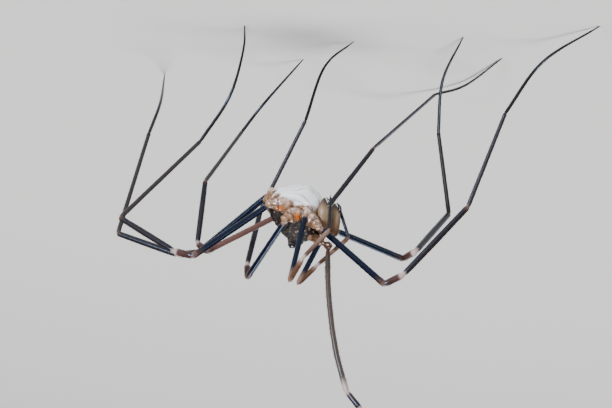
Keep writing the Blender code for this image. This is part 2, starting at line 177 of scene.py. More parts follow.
# Each lamp: place in metres, width and height in metres, watts, colour
LAMPS = {
    "lamp_above": ((0.0, 0.05, 0.45), (0.25, 0.25), 2.7, (1.0, 1.0, 1.0)),
    "lamp_low_left": ((0.22, -0.3, 0.03), (0.07, 0.03), 2.2, (0.93, 0.96, 1.0)),
    "lamp_low_right": ((-0.3, -0.2, 0.04), (0.12, 0.04), 0.25, (1.0, 0.98, 0.95)),
    "lamp_behind": ((-0.1, 0.5, 0.3), (0.3, 0.2), 1.0, (0.9, 0.95, 1.0)),
}
for name, (spot, size, power, colour) in LAMPS.items():
    lamp_data = bpy.data.lights.new(name, "AREA")
    lamp_data.shape = "RECTANGLE"
    lamp_data.size, lamp_data.size_y = size
    lamp_data.energy = power
    lamp_data.color = colour
    lamp = bpy.data.objects.new(name, lamp_data)
    aim_line = BODY_PLACE * MM - Vector(spot)
    lamp.matrix_world = Matrix.Translation(spot) @ aim_line.to_track_quat("-Z", "Y").to_matrix().to_4x4()
    bpy.context.scene.collection.objects.link(lamp)

sky = bpy.data.worlds.new("sky")
sky.use_nodes = True
backdrop = sky.node_tree.nodes["Background"]
backdrop.inputs["Color"].default_value = SKY_COLOUR
backdrop.inputs["Strength"].default_value = SKY_STRENGTH
bpy.context.scene.world = sky
print("lamps:", ", ".join(LAMPS))

# %% [markdown]
# ## The limbs in numbers
# Each limb starts at its hip on the body and is a walk of straight stretches: femur,
# patella, tibia, metatarsus and tarsus. A stretch is aimed by a bearing, in degrees round
# from the +X axis, and by its rise above level. The lengths belong to the pair of legs, so
# left and right are alike, and the last step of a tarsus falls just far enough to stand.

# %% Limb table
LEG_LENGTHS = {
    1: (7.2, 1.7, 7.6, 8.2),
    2: (12.3, 1.9, 9.6, 8.4),
    3: (7.9, 1.4, 5.4, 8.4),
    4: (8.2, 1.8, 5.8, 9.4),
}
LEGS = {
    "leg_1_left": {
        "root": (0.5, 1.1, -0.4),
        "hip": (2.35, 1.95, 0.0),
        "femur": [(-179, 37)],
        "aims": [(-170, -30), (-166, -50), (-153, -71)],
        "tarsus": [(5.4, -131, -45)],
        "foot": (7.6, -122),
    },
    "leg_2_left": {
        "root": (1.1, 0.8, 1.2),
        "hip": (3.45, 1.1, 1.35),
        "femur": [(-146, 84), (-159, 80), (-165, 76), (-169, 70)],
        "aims": [(-168, 47), (-170, 14), (-172, -8)],
        "tarsus": [(5.0, -172, -22), (5.0, -170, -33), (4.5, -168, -42)],
        "foot": None,
    },
    "leg_3_left": {
        "root": (0.4, 0.9, -0.7),
        "hip": (-0.2, 2.7, 0.4),
        "femur": [(66, 30)],
        "aims": [(81, -59), (111, -69), (-139, -61)],
        "tarsus": [(5.3, -110, -49)],
        "foot": (3.5, -136),
    },
    "leg_4_left": {
        "root": (0.3, 0.9, -0.9),
        "hip": (-2.0, 2.3, -0.2),
        "femur": [(-22, 40)],
        "aims": [(27, -13), (23, -28), (167, -50)],
        "tarsus": [(4.4, -162, -60), (4.1, -117, -64)],
        "foot": (2.3, -88),
    },
    "leg_1_right": {
        "root": (0.9, -0.8, -0.4),
        "hip": (2.6, -2.0, 0.6),
        "femur": [(148, 10)],
        "aims": [(-127, -17), (116, -36), (-74, -44)],
        "tarsus": [(5.8, -88, -35)],
        "foot": (6.2, -102),
    },
    "leg_2_right": {
        "root": (0.7, -0.9, -0.4),
        "hip": (1.1, -2.4, 0.4),
        "femur": [(84, -7)],
        "aims": [(125, -24), (144, -54), (-130, -28)],
        "tarsus": [(4.9, -118, 0)],
        "foot": (9.6, -105),
    },
    "leg_3_right": {
        "root": (0.4, -0.9, -0.6),
        "hip": (-1.4, -2.3, 0.4),
        "femur": [(7, 31)],
        "aims": [(44, -34), (110, -85), (114, -42)],
        "tarsus": [(2.9, -171, -57)],
        "foot": (5.8, -131),
    },
    "leg_4_right": {
        "root": (0.2, -1.0, -1.45),
        "hip": (-3.3, -1.5, -0.35),
        "femur": [(31, 37)],
        "aims": [(16, 9), (19, -17), (140, -76)],
        "tarsus": [(4.1, 104, -52)],
        "foot": (6.7, 89),
    },
}
PALP_LENGTHS = (6.2, 2.2, 3.5, 2.9)
PALPS = {
    "palp_left": {
        "root": (0.9, 0.8, -1.0),
        "hip": (1.0, 1.95, -0.75),
        "aims": [(-52, 77), (-134, -55), (150, -50), (77, -80)],
    },
    "palp_right": {
        "root": (0.9, -0.8, -0.7),
        "hip": (2.3, -1.6, -0.2),
        "aims": [(-18, 67), (166, -50), (-169, -45), (8, -68)],
    },
}
FOOT_HEIGHT = 0.05


def aim(bearing, rise):
    """The direction of a stretch, as an arrow one long."""
    turn = math.radians(bearing)
    lift = math.radians(rise)
    return Vector((math.cos(lift) * math.cos(turn), math.cos(lift) * math.sin(turn), math.sin(lift)))


def walk(start, steps):
    """The joints of a limb, one step of (length, bearing, rise) after another."""
    joints = [start]
    for length, bearing, rise in steps:
        joints.append(joints[-1] + aim(bearing, rise) * length)
    return joints


def smooth_path(joints, step=0.9):
    """A curve through the joints, as points about a step apart."""
    if len(joints) == 2:
        return list(joints)
    guides = [joints[0] * 2 - joints[1]] + list(joints) + [joints[-1] * 2 - joints[-2]]
    path = [joints[0].copy()]
    for before, start, end, after in zip(guides, guides[1:], guides[2:], guides[3:]):
        count = max(2, round((end - start).length / step))
        for index in range(1, count + 1):
            t = index / count
            pull = (end - before) * t
            pull += (before * 2 - start * 5 + end * 4 - after) * t ** 2
            pull += (start * 3 - before - end * 3 + after) * t ** 3
            path.append(start + pull / 2)
    return path


def leg_paths(leg, pair):
    """The centre line of each stretch of a leg."""
    femur_length, patella_length, tibia_length, metatarsus_length = LEG_LENGTHS[pair]
    share = femur_length / len(leg["femur"])
    femur = walk(from_body(leg["hip"]), [(share, *turn) for turn in leg["femur"]])
    lengths = (patella_length, tibia_length, metatarsus_length)
    shin = walk(femur[-1], [(length, *turn) for length, turn in zip(lengths, leg["aims"])])
    tarsus = walk(shin[-1], leg["tarsus"])
    if leg["foot"]:
        length, bearing = leg["foot"]
        fall = math.degrees(math.asin((tarsus[-1].z - FOOT_HEIGHT) / length))
        tarsus = tarsus + walk(tarsus[-1], [(length, bearing, -fall)])[1:]
    return [
        ("femur", smooth_path(femur)),
        ("patella", shin[0:2]),
        ("tibia", shin[1:3]),
        ("metatarsus", shin[2:4]),
        ("tarsus", smooth_path(tarsus)),
    ]


def palp_paths(palp):
    """The centre line of each stretch of a palp."""
    steps = [(length, *turn) for length, turn in zip(PALP_LENGTHS, palp["aims"])]
    joints = walk(from_body(palp["hip"]), steps)
    names = ("femur", "patella", "tibia", "tarsus")
    return [(name, list(pair)) for name, pair in zip(names, zip(joints, joints[1:]))]


limb_paths = {name: leg_paths(leg, int(name.split("_")[1])) for name, leg in LEGS.items()}
limb_paths.update({name: palp_paths(palp) for name, palp in PALPS.items()})
for name, paths in limb_paths.items():
    reach = sum((b - a).length for _, path in paths for a, b in zip(path, path[1:]))
    print(name, round(reach, 1), "mm long")

# %% [markdown]
# ## Limbs
# A leg of a harvestman is a hard thin tube, hardly half a millimetre across. It narrows to
# a neck at every joint and swells just before the next, and at the knee it turns sharply.
# A curve with a round bevel draws that well: its points follow the leg, and each point has
# its own radius. The curve is then turned into a mesh, so that thorns can be joined to it.
#
# Every point also remembers how far down the limb it is, counted in stretches: 0 to 1 is the
# femur, 1 to 2 the patella, and so on. The materials read that number to place dark
# tubes, red knees, and pale joints with a painted highlight on them.

# %% Thickness along a limb
# Each stop is a share of the stretch's length, and the radius there
LEG_SHAPE = {
    "femur": [
        (0.0, 0.17), (0.035, 0.18), (0.06, 0.24), (0.15, 0.255),
        (0.9, 0.265), (0.96, 0.29), (0.99, 0.27), (1.0, 0.225),
    ],
    "patella": [(0.0, 0.22), (0.1, 0.265), (0.25, 0.28), (0.8, 0.29), (0.92, 0.26), (1.0, 0.17)],
    "tibia": [
        (0.0, 0.17), (0.05, 0.235), (0.12, 0.25), (0.5, 0.262), (0.93, 0.235), (0.975, 0.24), (1.0, 0.155),
    ],
    "metatarsus": [(0.0, 0.145), (0.03, 0.195), (0.3, 0.185), (0.95, 0.165), (0.985, 0.175), (1.0, 0.12)],
    "tarsus": [(0.0, 0.115), (0.02, 0.145), (0.5, 0.12), (0.9, 0.08), (0.99, 0.055), (1.0, 0.02)],
}
PAIR_GIRTH = {1: 1.0, 2: 0.82, 3: 0.92, 4: 1.0}
PALP_SHAPE = {
    "femur": [(0.0, 0.16), (0.06, 0.2), (0.2, 0.22), (0.85, 0.22), (0.95, 0.235), (1.0, 0.2)],
    "patella": [(0.0, 0.18), (0.25, 0.21), (0.8, 0.215), (0.93, 0.19), (1.0, 0.13)],
    "tibia": [(0.0, 0.13), (0.12, 0.165), (0.75, 0.18), (0.93, 0.195), (1.0, 0.12)],
    "tarsus": [(0.0, 0.11), (0.08, 0.135), (0.6, 0.13), (0.9, 0.115), (0.97, 0.085), (1.0, 0.04)],
}
LIMB_STEP = 0.16
NEAR_JOINT = 0.015
CORNER_ROUNDS = 3


def marks_along(points):
    """How far along a line each of its points lies."""
    return np.concatenate(([0.0], np.cumsum(np.linalg.norm(np.diff(points, axis=0), axis=1))))


def points_at(places, marks, points):
    """Points of a line between its own, from the marks that its own points lie at."""
    return np.stack([np.interp(places, marks, points[:, axis]) for axis in range(3)], axis=1)


def limb_line(paths, shape):
    """Centre points, radii and reach down a limb, its corners rounded."""
    points, radii, reaches = [], [], []
    for index, (name, path) in enumerate(paths):
        marks, sizes = zip(*shape[name])
        corners = np.array([tuple(point) for point in path])
        lengths = marks_along(corners)
        even = np.linspace(0.0, 1.0, max(3, round(lengths[-1] / LIMB_STEP)))
        shares = np.unique(np.round(np.concatenate((even, marks, [1 - NEAR_JOINT, NEAR_JOINT])), 4))
        if index:
            shares = shares[1:]
        points.append(points_at(shares * lengths[-1], lengths, corners))
        radii.append(np.interp(shares, marks, sizes))
        reaches.append(index + shares)
    points, radii, reaches = np.concatenate(points), np.concatenate(radii), np.concatenate(reaches)
    for _ in range(CORNER_ROUNDS):
        points[1:-1] = points[:-2] * 0.25 + points[1:-1] * 0.5 + points[2:] * 0.25
    return points, radii, reaches


# %% A tube along a line
TUBE_SIDES = 12
MERGE = 0.002


def draw_tube(name, points, radii, sides=TUBE_SIDES):
    """A round tube as a closed mesh, from a curve with a bevel."""
    start_clean()
    bpy.ops.curve.primitive_nurbs_path_add()
    tube = bpy.context.object
    tube.name = name
    tube.data.splines.clear()
    spline = tube.data.splines.new("POLY")
    spline.points.add(len(points) - 1)
    for knot, point, radius in zip(spline.points, points, radii):
        knot.co = (point[0], point[1], point[2], 1.0)
        knot.radius = radius
    tube.data.dimensions = "3D"
    tube.data.bevel_depth = 1.0
    tube.data.bevel_resolution = (sides - 4) // 2
    tube.data.use_fill_caps = True
    bpy.ops.object.convert(target="MESH")
    edit_all()
    bpy.ops.mesh.remove_doubles(threshold=MERGE)
    bpy.ops.mesh.normals_make_consistent(inside=False)
    bpy.ops.object.mode_set(mode="OBJECT")
    tube.data.materials.clear()
    return tube


def give_number(thing, name, values):
    """Store one number at every vertex, for the materials to read."""
    attribute = thing.data.attributes.get(name) or thing.data.attributes.new(name, "FLOAT", "POINT")
    attribute.data.foreach_set("value", np.ascontiguousarray(values, dtype=np.float32))


def corners_of(thing, what="co"):
    """The places or the normals of a mesh's vertices, as rows of numbers."""
    places = np.empty(len(thing.data.vertices) * 3, dtype=np.float32)
    thing.data.vertices.foreach_get(what, places)
    return places.reshape(-1, 3).astype(float)


# %% [markdown]
# ## Thorns and hairs
# Rows of tiny thorns run down each leg, and the thinner stretches carry short hairs that
# lie toward the tip. Each is a four-sided spike of a few faces. They could be particles,
# but those are lost in an export, so one spike is modelled and its corners are copied, turned
# and sized at every place of a row, all into one mesh that is joined to the limb.

# %% One spike
start_clean()
bpy.ops.mesh.primitive_cone_add(vertices=4, radius1=1.0, radius2=0.0, depth=1.0, location=(0, 0, 0.5))
spike = bpy.context.object
spike.name = "spike"
bpy.ops.object.transform_apply(location=True)
edit_all()
bpy.ops.mesh.quads_convert_to_tris()
bpy.ops.object.mode_set(mode="OBJECT")
spike_corners = corners_of(spike)
spike_faces = np.array([tuple(face.vertices) for face in spike.data.polygons])
bpy.data.objects.remove(spike)
print("spike:", len(spike_corners), "corners,", len(spike_faces), "faces")

# %% Spikes in rows
SPIKE_ROOT = 0.02
NEARLY_UPRIGHT = 0.9


def plant_spikes(name, roots, directions, heights, widths):
    """One mesh of many spikes: where each stands, where it points, its height and width."""
    directions = directions / np.linalg.norm(directions, axis=1, keepdims=True)
    helper = np.where(np.abs(directions[:, 2:3]) < NEARLY_UPRIGHT, [[0.0, 0.0, 1.0]], [[1.0, 0.0, 0.0]])
    sides = np.cross(helper, directions)
    sides /= np.linalg.norm(sides, axis=1, keepdims=True)
    backs = np.cross(directions, sides)
    roots = roots - directions * SPIKE_ROOT
    corners = (
        roots[:, None]
        + sides[:, None] * spike_corners[None, :, 0:1] * widths[:, None, None]
        + backs[:, None] * spike_corners[None, :, 1:2] * widths[:, None, None]
        + directions[:, None] * spike_corners[None, :, 2:3] * (heights + SPIKE_ROOT)[:, None, None]
    )
    steps = np.arange(len(roots))[:, None, None] * len(spike_corners)
    faces = spike_faces[None] + steps
    mesh = bpy.data.meshes.new(name)
    mesh.from_pydata(corners.reshape(-1, 3).tolist(), [], faces.reshape(-1, 3).tolist())
    thing = bpy.data.objects.new(name, mesh)
    bpy.context.scene.collection.objects.link(thing)
    return thing


def side_arrows(points):
    """Two arrows square to a line at each of its points, carried along without twisting."""
    ahead = np.gradient(points, axis=0)
    ahead /= np.linalg.norm(ahead, axis=1, keepdims=True)
    helper = [0.0, 0.0, 1.0] if abs(ahead[0][2]) < NEARLY_UPRIGHT else [1.0, 0.0, 0.0]
    first = np.cross(ahead[0], helper)
    arrows = [first / np.linalg.norm(first)]
    for direction in ahead[1:]:
        carried = arrows[-1] - direction * np.dot(arrows[-1], direction)
        arrows.append(carried / np.linalg.norm(carried))
    arrows = np.array(arrows)
    return ahead, arrows, np.cross(ahead, arrows)


# Spikes on each stretch: rows, spacing, height, width, lean toward the tip
LEG_SPIKES = {
    "femur": (5, 0.24, 0.07, 0.032, 0.7),
    "patella": (5, 0.22, 0.06, 0.03, 0.7),
    "tibia": (5, 0.26, 0.07, 0.022, 1.0),
    "metatarsus": (5, 0.34, 0.1, 0.012, 1.6),
    "tarsus": (6, 0.2, 0.08, 0.009, 1.4),
}
FEELER_THORNS = (6, 0.26, 0.13, 0.055, 0.75)
PALP_SPIKES = {
    "femur": (4, 0.26, 0.06, 0.022, 0.8),
    "patella": (5, 0.24, 0.07, 0.02, 0.9),
    "tibia": (6, 0.22, 0.1, 0.016, 1.1),
    "tarsus": (7, 0.16, 0.11, 0.012, 1.2),
}
KEEP_CLEAR = 0.06
ROW_SHIFT = 0.2
ROW_TWIST = 0.12
HEIGHT_BETWEEN = (0.7, 1.25)


def spiky_rows(name, paths, line, table, seed):
    """The rows of spikes of one limb, with their reach."""
    draw = np.random.default_rng(seed)
    points, radii, reaches = line
    marks = marks_along(points)
    ahead, first, second = side_arrows(points)
    roots, directions, heights, widths, spike_reaches = [], [], [], [], []
    for index, (stretch, _) in enumerate(paths):
        rows, spacing, height, width, lean = table[stretch]
        inside = (reaches > index + KEEP_CLEAR) & (reaches < index + 1 - KEEP_CLEAR)
        begin, end = marks[inside][0], marks[inside][-1]
        for row in range(rows):
            places = np.arange(begin + draw.uniform(0, spacing), end, spacing)
            places = places + draw.uniform(-ROW_SHIFT, ROW_SHIFT, len(places)) * spacing
            angle = 2 * math.pi * row / rows + draw.normal(0, ROW_TWIST, len(places))
            nearest = np.searchsorted(marks, places).clip(0, len(marks) - 1)
            outward = first[nearest] * np.cos(angle)[:, None] + second[nearest] * np.sin(angle)[:, None]
            out_to_skin = outward * np.interp(places, marks, radii)[:, None]
            roots.append(points_at(places, marks, points) + out_to_skin)
            directions.append(outward + ahead[nearest] * lean)
            heights.append(height * draw.uniform(*HEIGHT_BETWEEN, len(places)))
            widths.append(np.full(len(places), width))
            spike_reaches.append(np.interp(places, marks, reaches))
    thing = plant_spikes(name, *(np.concatenate(part) for part in (roots, directions, heights, widths)))
    give_number(thing, "reach", np.repeat(np.concatenate(spike_reaches), len(spike_corners)))
    # A thorn's number is a half at its foot and 1 at its tip
    tips = np.tile(spike_corners[:, 2], len(thing.data.vertices) // len(spike_corners))
    give_number(thing, "thorn", (1 + tips) / 2)
    return thing


def join_all(things, name):
    """Join objects into the first one."""
    joined = pick(*things)
    bpy.ops.object.join()
    joined.name = name
    return joined


# %% [markdown]
# The foot of each leg ends in a single curved claw, and so does each palp. It is a short
# tube of its own that bends down from the tip of the tarsus and thins to a point.

# %% Claws and finished limbs
CLAW_LENGTH = 0.22
CLAW_RADII = (0.035, 0.03, 0.022, 0.012, 0.004)
CLAW_CURL = 0.6
CLAW_OFF_FLOOR = 0.01
CLAW_SIDES = 6
RAISED_ABOVE = 1.0
JUST_SHORT = 0.001
SMOOTH_BELOW = math.radians(50)


def claw_line(points):
    """A short bow that carries on from the end of a limb and curls under."""
    tip = Vector(points[-1])
    ahead = (tip - Vector(points[-4])).normalized()
    curl = CLAW_CURL if tip.z > RAISED_ABOVE else 0.0
    down = Vector((0.0, 0.0, -curl))
    bow = []
    for share in np.linspace(0.0, 1.0, len(CLAW_RADII)):
        spot = tip + ahead * CLAW_LENGTH * share + down * CLAW_LENGTH * share ** 2
        spot.z = max(spot.z, CLAW_OFF_FLOOR + CLAW_RADII[0] * (1 - share))
        bow.append(spot)
    return bow


def finish(thing):
    """Bring a piece from millimetres to metres, at the origin, with smooth faces."""
    pick(thing)
    edit_all()
    bpy.ops.transform.resize(value=(MM, MM, MM), center_override=(0.0, 0.0, 0.0))
    bpy.ops.object.mode_set(mode="OBJECT")
    bpy.ops.object.shade_smooth_by_angle(angle=SMOOTH_BELOW)
    return thing


def make_limb(name, paths, shape, spikes, seed):
    """One limb: its tube, its spikes and its claw, in one mesh."""
    line = limb_line(paths, shape)
    points, radii, reaches = line
    tube = draw_tube(name, points, radii)
    places = corners_of(tube)
    nearest = np.array([np.argmin(((points - place) ** 2).sum(axis=1)) for place in places])
    give_number(tube, "reach", reaches[nearest])
    give_number(tube, "thorn", np.zeros(len(places)))
    rows = spiky_rows(f"{name}_spikes", paths, line, spikes, seed)
    claw = draw_tube(f"{name}_claw", claw_line(points), CLAW_RADII, CLAW_SIDES)
    give_number(claw, "reach", np.full(len(claw.data.vertices), len(paths) - JUST_SHORT))
    give_number(claw, "thorn", np.ones(len(claw.data.vertices)))
    return finish(join_all([tube, rows, claw], name))


limbs = {}
for seed, (name, paths) in enumerate(limb_paths.items()):
    leg = name.startswith("leg")
    spikes = LEG_SPIKES if leg else PALP_SPIKES
    if name == "leg_2_left":
        spikes = {**LEG_SPIKES, "femur": FEELER_THORNS}
    shape = PALP_SHAPE
    if leg:
        girth = PAIR_GIRTH[int(name.split("_")[1])]
        shape = {part: [(mark, size * girth) for mark, size in stops] for part, stops in LEG_SHAPE.items()}
    limbs[name] = make_limb(name, paths, shape, spikes, seed)
    print(name, len(limbs[name].data.polygons), "faces")

# %% [markdown]
# ## Body
# The body is one egg with no waist. Under it the broad first segments of the legs, the
# coxae, lie side by side like the staves of a barrel, and each ends in a round knuckle from
# which the leg leaves. Modelling that as one net of faces by hand is slow, so the body and
# the coxae are shaped apart as simple rounded forms, joined, and wrapped in one new even
# skin by a voxel remesh. It melts the seams between them as real soft cuticle does.

# %% Egg of the body
BODY_MIDDLE = -0.5
BODY_HALF_LENGTH = 2.85
BODY_HALF_WIDTH = 2.15
BACK_HEIGHT = 2.25
BELLY_DEPTH = 2.35
CHIN_SLOPE = 0.35
CHIN_FULLNESS = 0.25
HEAD_NARROWING = 0.12
BACK_NARROWING = 0.12
HEAD_FLATTENING = 0.1
BROW = 0.3
TAIL_SLOPE = 0.7
BELLY_TAIL_SLOPE = 0.4
BLUNT_FROM = 1.5
BLUNT_SHARE = 0.5
SKIN_INSIDE = 0.03
EGG_SEGMENTS = 64
EGG_RINGS = 40


def shape_egg(forward, left, up):
    """Send a point of a ball one unit in radius to the skin of the body."""
    swell = 1.0 + max(forward, 0.0) * (BROW * max(up, 0.0) + CHIN_FULLNESS * max(-up, 0.0))
    forward, left, up = forward * swell, left * swell, up * swell
    along = BODY_MIDDLE + forward * (BODY_HALF_LENGTH - SKIN_INSIDE)
    narrowing = 1.0 - HEAD_NARROWING * max(forward, 0.0) - BACK_NARROWING * max(up, 0.0)
    height = BACK_HEIGHT if up > 0 else BELLY_DEPTH
    head_slope, tail_slope = (HEAD_FLATTENING, TAIL_SLOPE) if up > 0 else (0.0, BELLY_TAIL_SLOPE)
    flattening = 1.0 - head_slope * max(forward, 0.0) - tail_slope * max(-forward, 0.0)
    across = left * (BODY_HALF_WIDTH - SKIN_INSIDE) * narrowing
    rise = up * (height - SKIN_INSIDE) * flattening
    if rise < 0 and forward > 0:
        along += CHIN_SLOPE * rise * forward
    if along > BLUNT_FROM:
        along = BLUNT_FROM + (along - BLUNT_FROM) * BLUNT_SHARE
    return Vector((along, across, rise))


start_clean()
laid_down = (0.0, math.pi / 2, 0.0)
bpy.ops.mesh.primitive_uv_sphere_add(
    segments=EGG_SEGMENTS, ring_count=EGG_RINGS, radius=1.0, rotation=laid_down
)
egg = bpy.context.object
bpy.ops.object.transform_apply(rotation=True)
for vert in egg.data.vertices:
    vert.co = shape_egg(*vert.co)
print("egg", tuple(round(side, 2) for side in egg.dimensions), "mm")

# %% Coxae, knuckles and the mound for the eyes
COXA_HALF_WIDTHS = {
    "leg_1_left": 0.66,
    "leg_2_left": 0.42,
    "leg_3_left": 0.68,
    "leg_4_left": 0.72,
    "leg_4_right": 0.72,
    "palp_left": 0.46,
    "palp_right": 0.46,
}
COXA_HALF_WIDTH = 0.6
COXA_FLATNESS = 0.95
COXA_PAST_HIP = 0.08
KNUCKLE_RADIUS = 0.4
CUP_REACH = 0.42
CUP_MARKS = (0.0, 0.6, 1.0)
CUP_RADII = (0.26, 0.25, 0.2)
CUP_SIDES = 16
BALL_SEGMENTS = 24
BALL_RINGS = 16
MOUND_PLACE = Vector((0.4, 0.0, 2.18))
MOUND_HALF_LENGTH = 0.68
MOUND_HALF_WIDTH = 0.62
MOUND_HEIGHT = 0.6
MOUND_ROOM = (0.95, 1.1, 1.05)
BROW_PLACE = Vector((1.75, 0.1, 0.85))
BROW_SIZE = (0.5, 0.8, 0.45)
EYE_RADIUS = 0.3
SOCKET_RADIUS = 0.36
SOCKET_SUNK = 0.7
EYE_PLACES = {"eye_left": Vector((0.42, 0.5, 2.54)), "eye_right": Vector((0.42, -0.5, 2.54))}


def add_ball(centre, size, direction=None):
    """A ball stretched to a size, its length laid along a direction."""
    start_clean()
    bpy.ops.mesh.primitive_uv_sphere_add(segments=BALL_SEGMENTS, ring_count=BALL_RINGS, radius=1.0)
    ball = bpy.context.object
    turn = direction.to_track_quat("Z", "Y").to_matrix().to_4x4() if direction else Matrix.Identity(4)
    ball.data.transform(Matrix.Translation(centre) @ turn @ Matrix.Diagonal((*size, 1.0)))
    return ball


to_body = BODY_TURN.inverted()
lumps = [egg]
limb_roots = {**LEGS, **PALPS}
for name, limb in limb_roots.items():
    root, hip = Vector(limb["root"]), Vector(limb["hip"])
    width = COXA_HALF_WIDTHS.get(name, COXA_HALF_WIDTH)
    outward = hip - root
    coxa_size = (width, width * COXA_FLATNESS, outward.length / 2 + COXA_PAST_HIP)
    lumps.append(add_ball((root + hip) / 2, coxa_size, outward))
    lumps.append(add_ball(hip, (KNUCKLE_RADIUS,) * 3, outward))
    first_turn = limb["femur"][0] if "femur" in limb else limb["aims"][0]
    leaving = to_body @ aim(*first_turn)
    cup = [hip + leaving * CUP_REACH * share for share in CUP_MARKS]
    lumps.append(draw_tube("cup", cup, CUP_RADII, CUP_SIDES))
lumps.append(add_ball(MOUND_PLACE, (MOUND_HALF_LENGTH, MOUND_HALF_WIDTH, MOUND_HEIGHT)))
lumps.append(add_ball(BROW_PLACE, BROW_SIZE))
for centre in EYE_PLACES.values():
    socket_middle = Vector((centre.x, centre.y * SOCKET_SUNK, centre.z))
    lumps.append(add_ball(socket_middle, (SOCKET_RADIUS,) * 3))
body = join_all(lumps, "body")
print("lumps joined:", len(lumps))

# %% One skin over all
SKIN_STEP = 0.05
SKIN_MELT = 5


def melt_together(thing, step, rounds):
    """Wrap joined lumps in one even skin and melt its seams."""
    pick(thing)
    thing.data.remesh_voxel_size = step
    thing.data.remesh_voxel_adaptivity = 0.0
    bpy.ops.object.voxel_remesh()
    melt = thing.modifiers.new("melt", "SMOOTH")
    melt.factor = 0.5
    melt.iterations = rounds
    bpy.ops.object.modifier_apply(modifier=melt.name)


melt_together(body, SKIN_STEP, SKIN_MELT)
print("skin:", len(body.data.vertices), "corners")

# %% [markdown]
# ## Where each skin lies
# Four kinds of skin meet on the body: a soft chalk white belly, tan coxae that stand out
# from it, a brown band between the coxae, and a hard dark back. Each vertex is given a share
# of each kind, from its height on the egg and how far it stands out. Both the modelled folds
# and the colours read these shares, so the wrinkles end where the white ends.

# %% Shares of belly, hips and back
DARK_ABOVE = (-0.05, 0.2)
WHITE_BELOW = (0.75, 1.15)
HIP_STANDS_OUT = (1.03, 1.1)
MOUND_EDGE = (0.9, 1.1)
BACK_WANDER = 0.15
BELLY_WANDER = 0.5
# Each noise: how finely it changes, per millimetre, and its seed
NOISES = {
    "wander": (1.6, 3.0),
    "bend": (1.1, 9.0),
    "lumps": (1.4, 21.0),
    "wrinkle depth": (0.9, 33.0),
}
LEAST_SLOPE = 0.25


def ramp(values, low, high):
    """Rise smoothly from 0 at low to 1 at high."""
    share = np.clip((values - low) / (high - low), 0.0, 1.0)
    return share * share * (3 - 2 * share)


def egg_distance(places):
    """How far out a point lies, where 1 is the skin of the egg."""
    along, across, rise = places.T
    forward = (along - BODY_MIDDLE) / BODY_HALF_LENGTH
    up = rise / np.where(rise > 0, BACK_HEIGHT, BELLY_DEPTH)
    chin = (rise < 0) & (forward > 0)
    forward = np.where(chin, forward / (1 + CHIN_SLOPE * rise / BODY_HALF_LENGTH), forward)
    width = BODY_HALF_WIDTH * (1 - HEAD_NARROWING * forward.clip(0) - BACK_NARROWING * up.clip(0))
    back_slope = 1 - HEAD_FLATTENING * forward.clip(0) - TAIL_SLOPE * (-forward).clip(0)
    belly_slope = 1 - BELLY_TAIL_SLOPE * (-forward).clip(0)
    up = up / np.where(rise > 0, back_slope, belly_slope).clip(LEAST_SLOPE)
    swell = 1 + forward.clip(0) * (BROW * up.clip(0) + CHIN_FULLNESS * (-up).clip(0))
    return np.sqrt(forward ** 2 + (across / width) ** 2 + up ** 2) / swell


def cloud(places, name):
    """One of the noises at each point, between about -1 and 1."""
    scale, seed = NOISES[name]
    return np.array([noise.noise(Vector(place) * scale + Vector((seed, 0, 0))) for place in places])


skin_places = corners_of(body)
along, across_body, rise = skin_places.T
wander = cloud(skin_places, "wander")
mound_near = np.linalg.norm((skin_places - np.array(MOUND_PLACE)) / MOUND_ROOM, axis=1)
mound_share = 1 - ramp(mound_near, *MOUND_EDGE)
hip_share = ramp(egg_distance(skin_places), *HIP_STANDS_OUT) * (1 - mound_share)
back_share = ramp(rise + wander * BACK_WANDER, *DARK_ABOVE) * (1 - hip_share)
belly_share = ramp(-rise + wander * BELLY_WANDER, *WHITE_BELOW) * (1 - hip_share)
print("belly", round(float(belly_share.mean()), 2), "hips", round(float(hip_share.mean()), 2))

# %% [markdown]
# The folds are made by moving each vertex along its normal. The belly has wrinkles that
# run lengthwise and shallow grooves across, and the back has a groove for each of its
# segments and is covered in small blunt warts. The coxae are cobbled with rounded knobs,
# with cracks between them and a groove before each knuckle. A sculpt brush could do this
# by hand. A rule in code gives the same result each time it runs.

# %% Folds, rings and warts
WRINKLE_SPACING = 0.42
WRINKLE_DEPTH = 0.075
WRINKLE_SLANT = 0.25
WRINKLE_BEND = 3.5
WRINKLE_SHARE = (0.6, 0.8)
WRINKLE_LEAST_NOISE = -0.5
BEND_STRETCH = (0.5, 1.0, 1.0)
LUMP_HEIGHT = 0.06
RING_SPACING = 0.62
RING_DEPTH = 0.06
RING_WIDTH = 0.28
RING_ON_BELLY = 0.4
RINGS_FADE_IN = (0.35, 0.65)
WART_SPACING = 0.3
WART_HEIGHT = 0.09
COBBLE_SPACING = 0.55
COBBLE_HEIGHT = 0.13
COBBLE_STEEPNESS = 1.6
CRACK_SHARPNESS = 6.0
CRACKS_WHERE = (-0.3, 0.2)
COXA_BANDS = 0.22
COXA_BAND_DEPTH = 0.03
BAND_BEND = 2
BAND_SHADE_SHARE = 0.6
BANDS_WHERE = (-0.1, 0.3)
KNUCKLE_MARK = 0.8
KNUCKLE_DEPTH = 0.06
KNUCKLE_GROOVE_WIDTH = 0.09
COXA_END = 1.2


def cobbles(places, spacing):
    """Rounded lumps, 1 at the middle of each, and the cracks between them, 1 in the crack."""
    lumps, cracks = [], []
    for place in places:
        near, _ = noise.voronoi(Vector(place) / spacing)
        lumps.append(max(0.0, 1 - near[0] * COBBLE_STEEPNESS))
        cracks.append(max(0.0, 1 - (near[1] - near[0]) * CRACK_SHARPNESS))
    return np.array(lumps), np.array(cracks)


